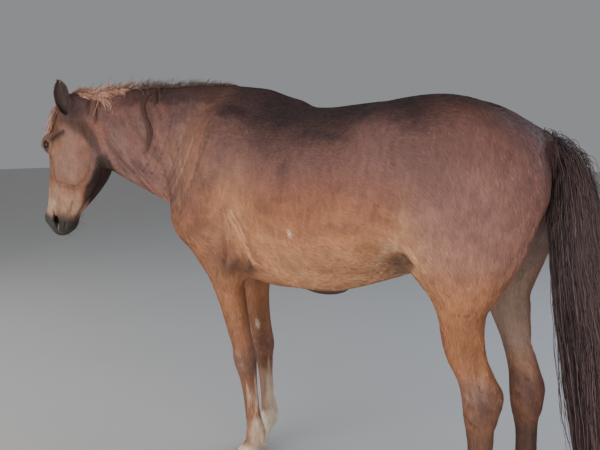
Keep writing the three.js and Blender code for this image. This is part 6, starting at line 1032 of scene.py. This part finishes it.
coat()
MANE = hair_material("mane_hair", (.23, .088, .064), (.72, .375, .262), (.96, .66, .50), (.105, .075, .058)); v, t, hair, uv, tt = mane_hair()
w = np.stack([np.clip(smooth(.36, .68, tt) * .90, 0, 1), (tt > 1.5) * (.35 + .65 * hair[:, 0]), 0 * tt], 1); mane = add("mane_strands", v, t, MANE, dict(m1=w, hair=hair), uv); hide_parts("mane"); n_hair = len(t)
v, t, hair, uv, tt = forelock_hair(); lock = add("forelock_strands", v, t, MANE, dict(m1=np.stack([0 * tt, np.where(hair[:, 0] < .62, .25 + .6 * hair[:, 2], .05), 0 * tt], 1), hair=hair), uv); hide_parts("forelock"); n_hair += len(t)
TAILM = hair_material("tail_hair", (.019, .011, .012), (.058, .034, .036), (.170, .112, .108), (.185, .118, .108)); v, t, hair, uv, side = tail_hair(47, 1750)
w = np.stack([smooth(.55, .98, side) * .30 + .45 * smooth(.62, .35, v[:, 2]) * smooth(.2, .8, side), 0 * side, 0 * side], 1); tail = add("tail_strands", v, t, TAILM, dict(m1=w, hair=hair), uv); n_hair += len(t); assert len(t) < 199000, len(t); v, t, hair, uv, side = tail_hair(48, 1750)
w = np.stack([smooth(.55, .98, side) * .30 + .45 * smooth(.62, .35, v[:, 2]) * smooth(.2, .8, side), 0 * side, 0 * side], 1); add("tail_strands_more", v, t, TAILM, dict(m1=w, hair=hair), uv); n_hair += len(t)
core = [[r[0], r[1], r[2], r[3] * .62, r[4] * .62] for r in TAIL[:-1]] + [[TAIL[-1][0], 0, .30, .004, .004]]; tube = Tube(core, [1, 0, 0], 4); G, lo = grid_eval(tube, (.58, -.10, .18), (.99, .10, 1.40), .012); cv, cq = surface_nets(G, lo, .012); ct = triangles(cv, cq)
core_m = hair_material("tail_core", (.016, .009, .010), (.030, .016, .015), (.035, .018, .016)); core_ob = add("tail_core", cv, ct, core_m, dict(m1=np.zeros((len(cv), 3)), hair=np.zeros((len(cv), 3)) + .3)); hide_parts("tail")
ls = lashes(); lv = [strands(np.random.default_rng(59 + i), q, np.full(q.shape[:2], .00022) * np.interp(np.linspace(0, 1, q.shape[1]), [0, 1], [1, .4])[None]) for i, q in enumerate(ls)]
sets = [(a[0], a[1], a[2], np.repeat(np.random.default_rng(61).random((len(q), 2)), a[4], 0) + np.tile(a[3], (len(q), 1))) for a, q in zip(lv, ls)]; v, t, hair, uv = join(sets)
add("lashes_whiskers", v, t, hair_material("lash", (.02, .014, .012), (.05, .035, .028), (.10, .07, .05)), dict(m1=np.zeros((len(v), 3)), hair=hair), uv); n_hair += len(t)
print("hair triangles", n_hair, round(time.time() - T0, 1))

# eyes: a ball with a raised clear front, a dark iris and a level oblong pupil
EYE = eye_material()
for side, s in (("left", 1), ("right", -1)):
    nu, nv = 56, 40; vv, tt = [], []
    ax = unit([.12, 1.0, .22]); up = unit(np.cross(ax, [1, 0, 0])); lv_ = np.cross(up, ax)
    for i in range(nv + 1):
        a = math.pi * i / nv
        for j in range(nu): b = 2 * math.pi * j / nu; vv.append(ax * math.cos(a) + (lv_ * math.cos(b) + up * math.sin(b)) * math.sin(a))
    vv = np.array(vv); c = vv @ ax; r = EYE_R * (.965 + .035 * smooth(.80, .97, c)); u_, w_ = vv @ lv_, vv @ up; pupil = smooth(1.08, .92, np.hypot(u_ / .36, w_ / .17)) * (c > 0); iris = smooth(.66, .70, c)
    for i in range(nv):
        for j in range(nu): p, q = i * nu + j, i * nu + (j + 1) % nu; tt += [[p, p + nu, q + nu], [p, q + nu, q]]
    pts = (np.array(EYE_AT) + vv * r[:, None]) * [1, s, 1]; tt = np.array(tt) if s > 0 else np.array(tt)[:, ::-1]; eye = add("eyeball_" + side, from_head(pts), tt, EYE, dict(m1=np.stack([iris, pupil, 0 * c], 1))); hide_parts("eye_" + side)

# hooves: rings from the ground to the sloping coronet, with growth rings and a hollow sole
HORN = horn_material(); RINGS = np.array([[0, -.024, .0590, .0600], [.06, -.0236, .0600, .0610], [.92, -.003, .0478, .0490], [1, 0, .0455, .0465]])
for leg, (hx, hy, hw) in HOOVES.items():
    n, rows = 72, 26; hs = np.linspace(0, 1, rows); R = np.stack([np.interp(hs, RINGS[:, 0], RINGS[:, k]) for k in (1, 2, 3)], 1); a = 2 * np.pi * np.arange(n) / n; c, s = np.cos(a), np.sin(a); e = np.where(c > 0, .78, 1.0); vv = []; wt = []
    for h, (cx, ln, wd) in zip(hs, R):
        ringy = .0005 * math.sin(h * 46) * (h > .08) * (h < .93); x = cx + (ln + ringy - .0002) * np.sign(c) * np.abs(c) ** e; y = (wd + ringy - .0002) * s * np.where(c > 0, 1 - .16 * c, 1) * hw; z = np.where(h == 0, 0, h * (.066 - .42 * x) - .0004); vv.append(np.stack([hx + x, hy + y, z], 1)); wt.append(np.stack([np.full(n, .75 if leg == "front_left" else .35 if leg == "front_right" else .0), np.full(n, smooth(.10, .0, h)) * .6, np.full(n, smooth(.88, .96, h))], 1))
    for f, z in ((.86, .0), (.80, .004), (.40, .006)): vv.append((vv[0] - [hx - .024, hy, 0]) * [f, f, 0] + [hx - .024, hy, z]); wt.append(np.tile([0, .8, 0], (n, 1)))
    top = (vv[rows - 1] - [hx, hy, 0]) * [.55, .55, 1] + [hx, hy, -.001]; vv.append(top); wt.append(np.tile([0, 0, 1.0], (n, 1))); tt = []
    def band(p, q): return [[p * n + j, p * n + (j + 1) % n, q * n + (j + 1) % n] for j in range(n)] + [[p * n + j, q * n + (j + 1) % n, q * n + j] for j in range(n)]
    for i in range(rows - 1): tt += band(i, i + 1)
    tt += band(rows, 0) + band(rows + 1, rows) + band(rows + 2, rows + 1) + band(rows - 1, rows + 3); vv = np.concatenate(vv); wt = np.concatenate(wt); k = len(vv); vv = np.vstack([vv, [[hx - .024, hy, .006], [hx, hy, .0655]]]); wt = np.vstack([wt, [[0, .8, 0], [0, 0, 1]]])
    tt += [[(rows + 2) * n + (j + 1) % n, (rows + 2) * n + j, k] for j in range(n)] + [[(rows + 3) * n + j, (rows + 3) * n + (j + 1) % n, k + 1] for j in range(n)]
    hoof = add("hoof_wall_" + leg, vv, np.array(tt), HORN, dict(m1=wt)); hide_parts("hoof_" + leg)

# ---------------------------------------------------------------- floor, light and camera
m, nt, b = tree("floor_pale"); b.inputs["Roughness"].default_value = .9; b.inputs["Specular IOR Level"].default_value = .1; n1 = noise(nt, 1.6, 3.0); nt.links.new(blend(nt, n1, (.60, .585, .56), (.64, .625, .60)), b.inputs["Base Color"])
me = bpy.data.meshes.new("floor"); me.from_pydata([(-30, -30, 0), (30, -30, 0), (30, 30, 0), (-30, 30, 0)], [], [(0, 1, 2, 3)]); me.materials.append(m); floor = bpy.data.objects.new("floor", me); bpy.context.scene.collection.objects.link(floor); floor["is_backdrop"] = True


def lamp(name, at, to, size, power, colour):
    d = bpy.data.lights.new(name, "AREA"); d.shape = "RECTANGLE"; d.size, d.size_y = size; d.energy = power; d.color = colour; o = bpy.data.objects.new(name, d); o.location = at
    v = np.array(to, float) - np.array(at, float); from mathutils import Vector; o.rotation_euler = Vector(v).to_track_quat("-Z", "Y").to_euler(); bpy.context.scene.collection.objects.link(o)


lamp("key", (-.6, -4.4, 1.5), (.0, 0, .85), (4.4, 2.4), 150, (1.0, .975, .94))
lamp("low", (-.3, -2.9, .22), (.0, 0, .95), (3.6, .36), 40, (1.0, .96, .90))
lamp("front", (-4.2, -1.8, 1.8), (-.6, 0, 1.1), (2.6, 2.2), 42, (1.0, .98, .95))
lamp("right", (3.8, -2.6, 1.3), (.3, 0, .8), (3.0, 2.4), 58, (1.0, .96, .92))
lamp("window", (3.2, 3.0, 3.4), (.5, 0, 1.2), (4.2, 3.4), 120, (.60, .75, 1.0))
w = bpy.data.worlds.new("room"); w.use_nodes = True; bg = w.node_tree.nodes["Background"]; bg.inputs[0].default_value = (.80, .82, .86, 1); bg.inputs[1].default_value = .34; bpy.context.scene.world = w
cam = bpy.data.cameras.new("camera"); cam.sensor_width = 36; cam.lens = 32.4; cam.clip_start = .05; cam.clip_end = 100; co = bpy.data.objects.new("camera", cam); co.location = tuple(np.array([.935, -1.667, 1.30]) + SHIFT)
co.rotation_euler = (math.radians(90 - 8.3), 0, math.radians(32.9)); bpy.context.scene.collection.objects.link(co); bpy.context.scene.camera = co

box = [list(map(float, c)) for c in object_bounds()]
print("box", CAD_BOX, box, "seconds", round(time.time() - T0, 1))
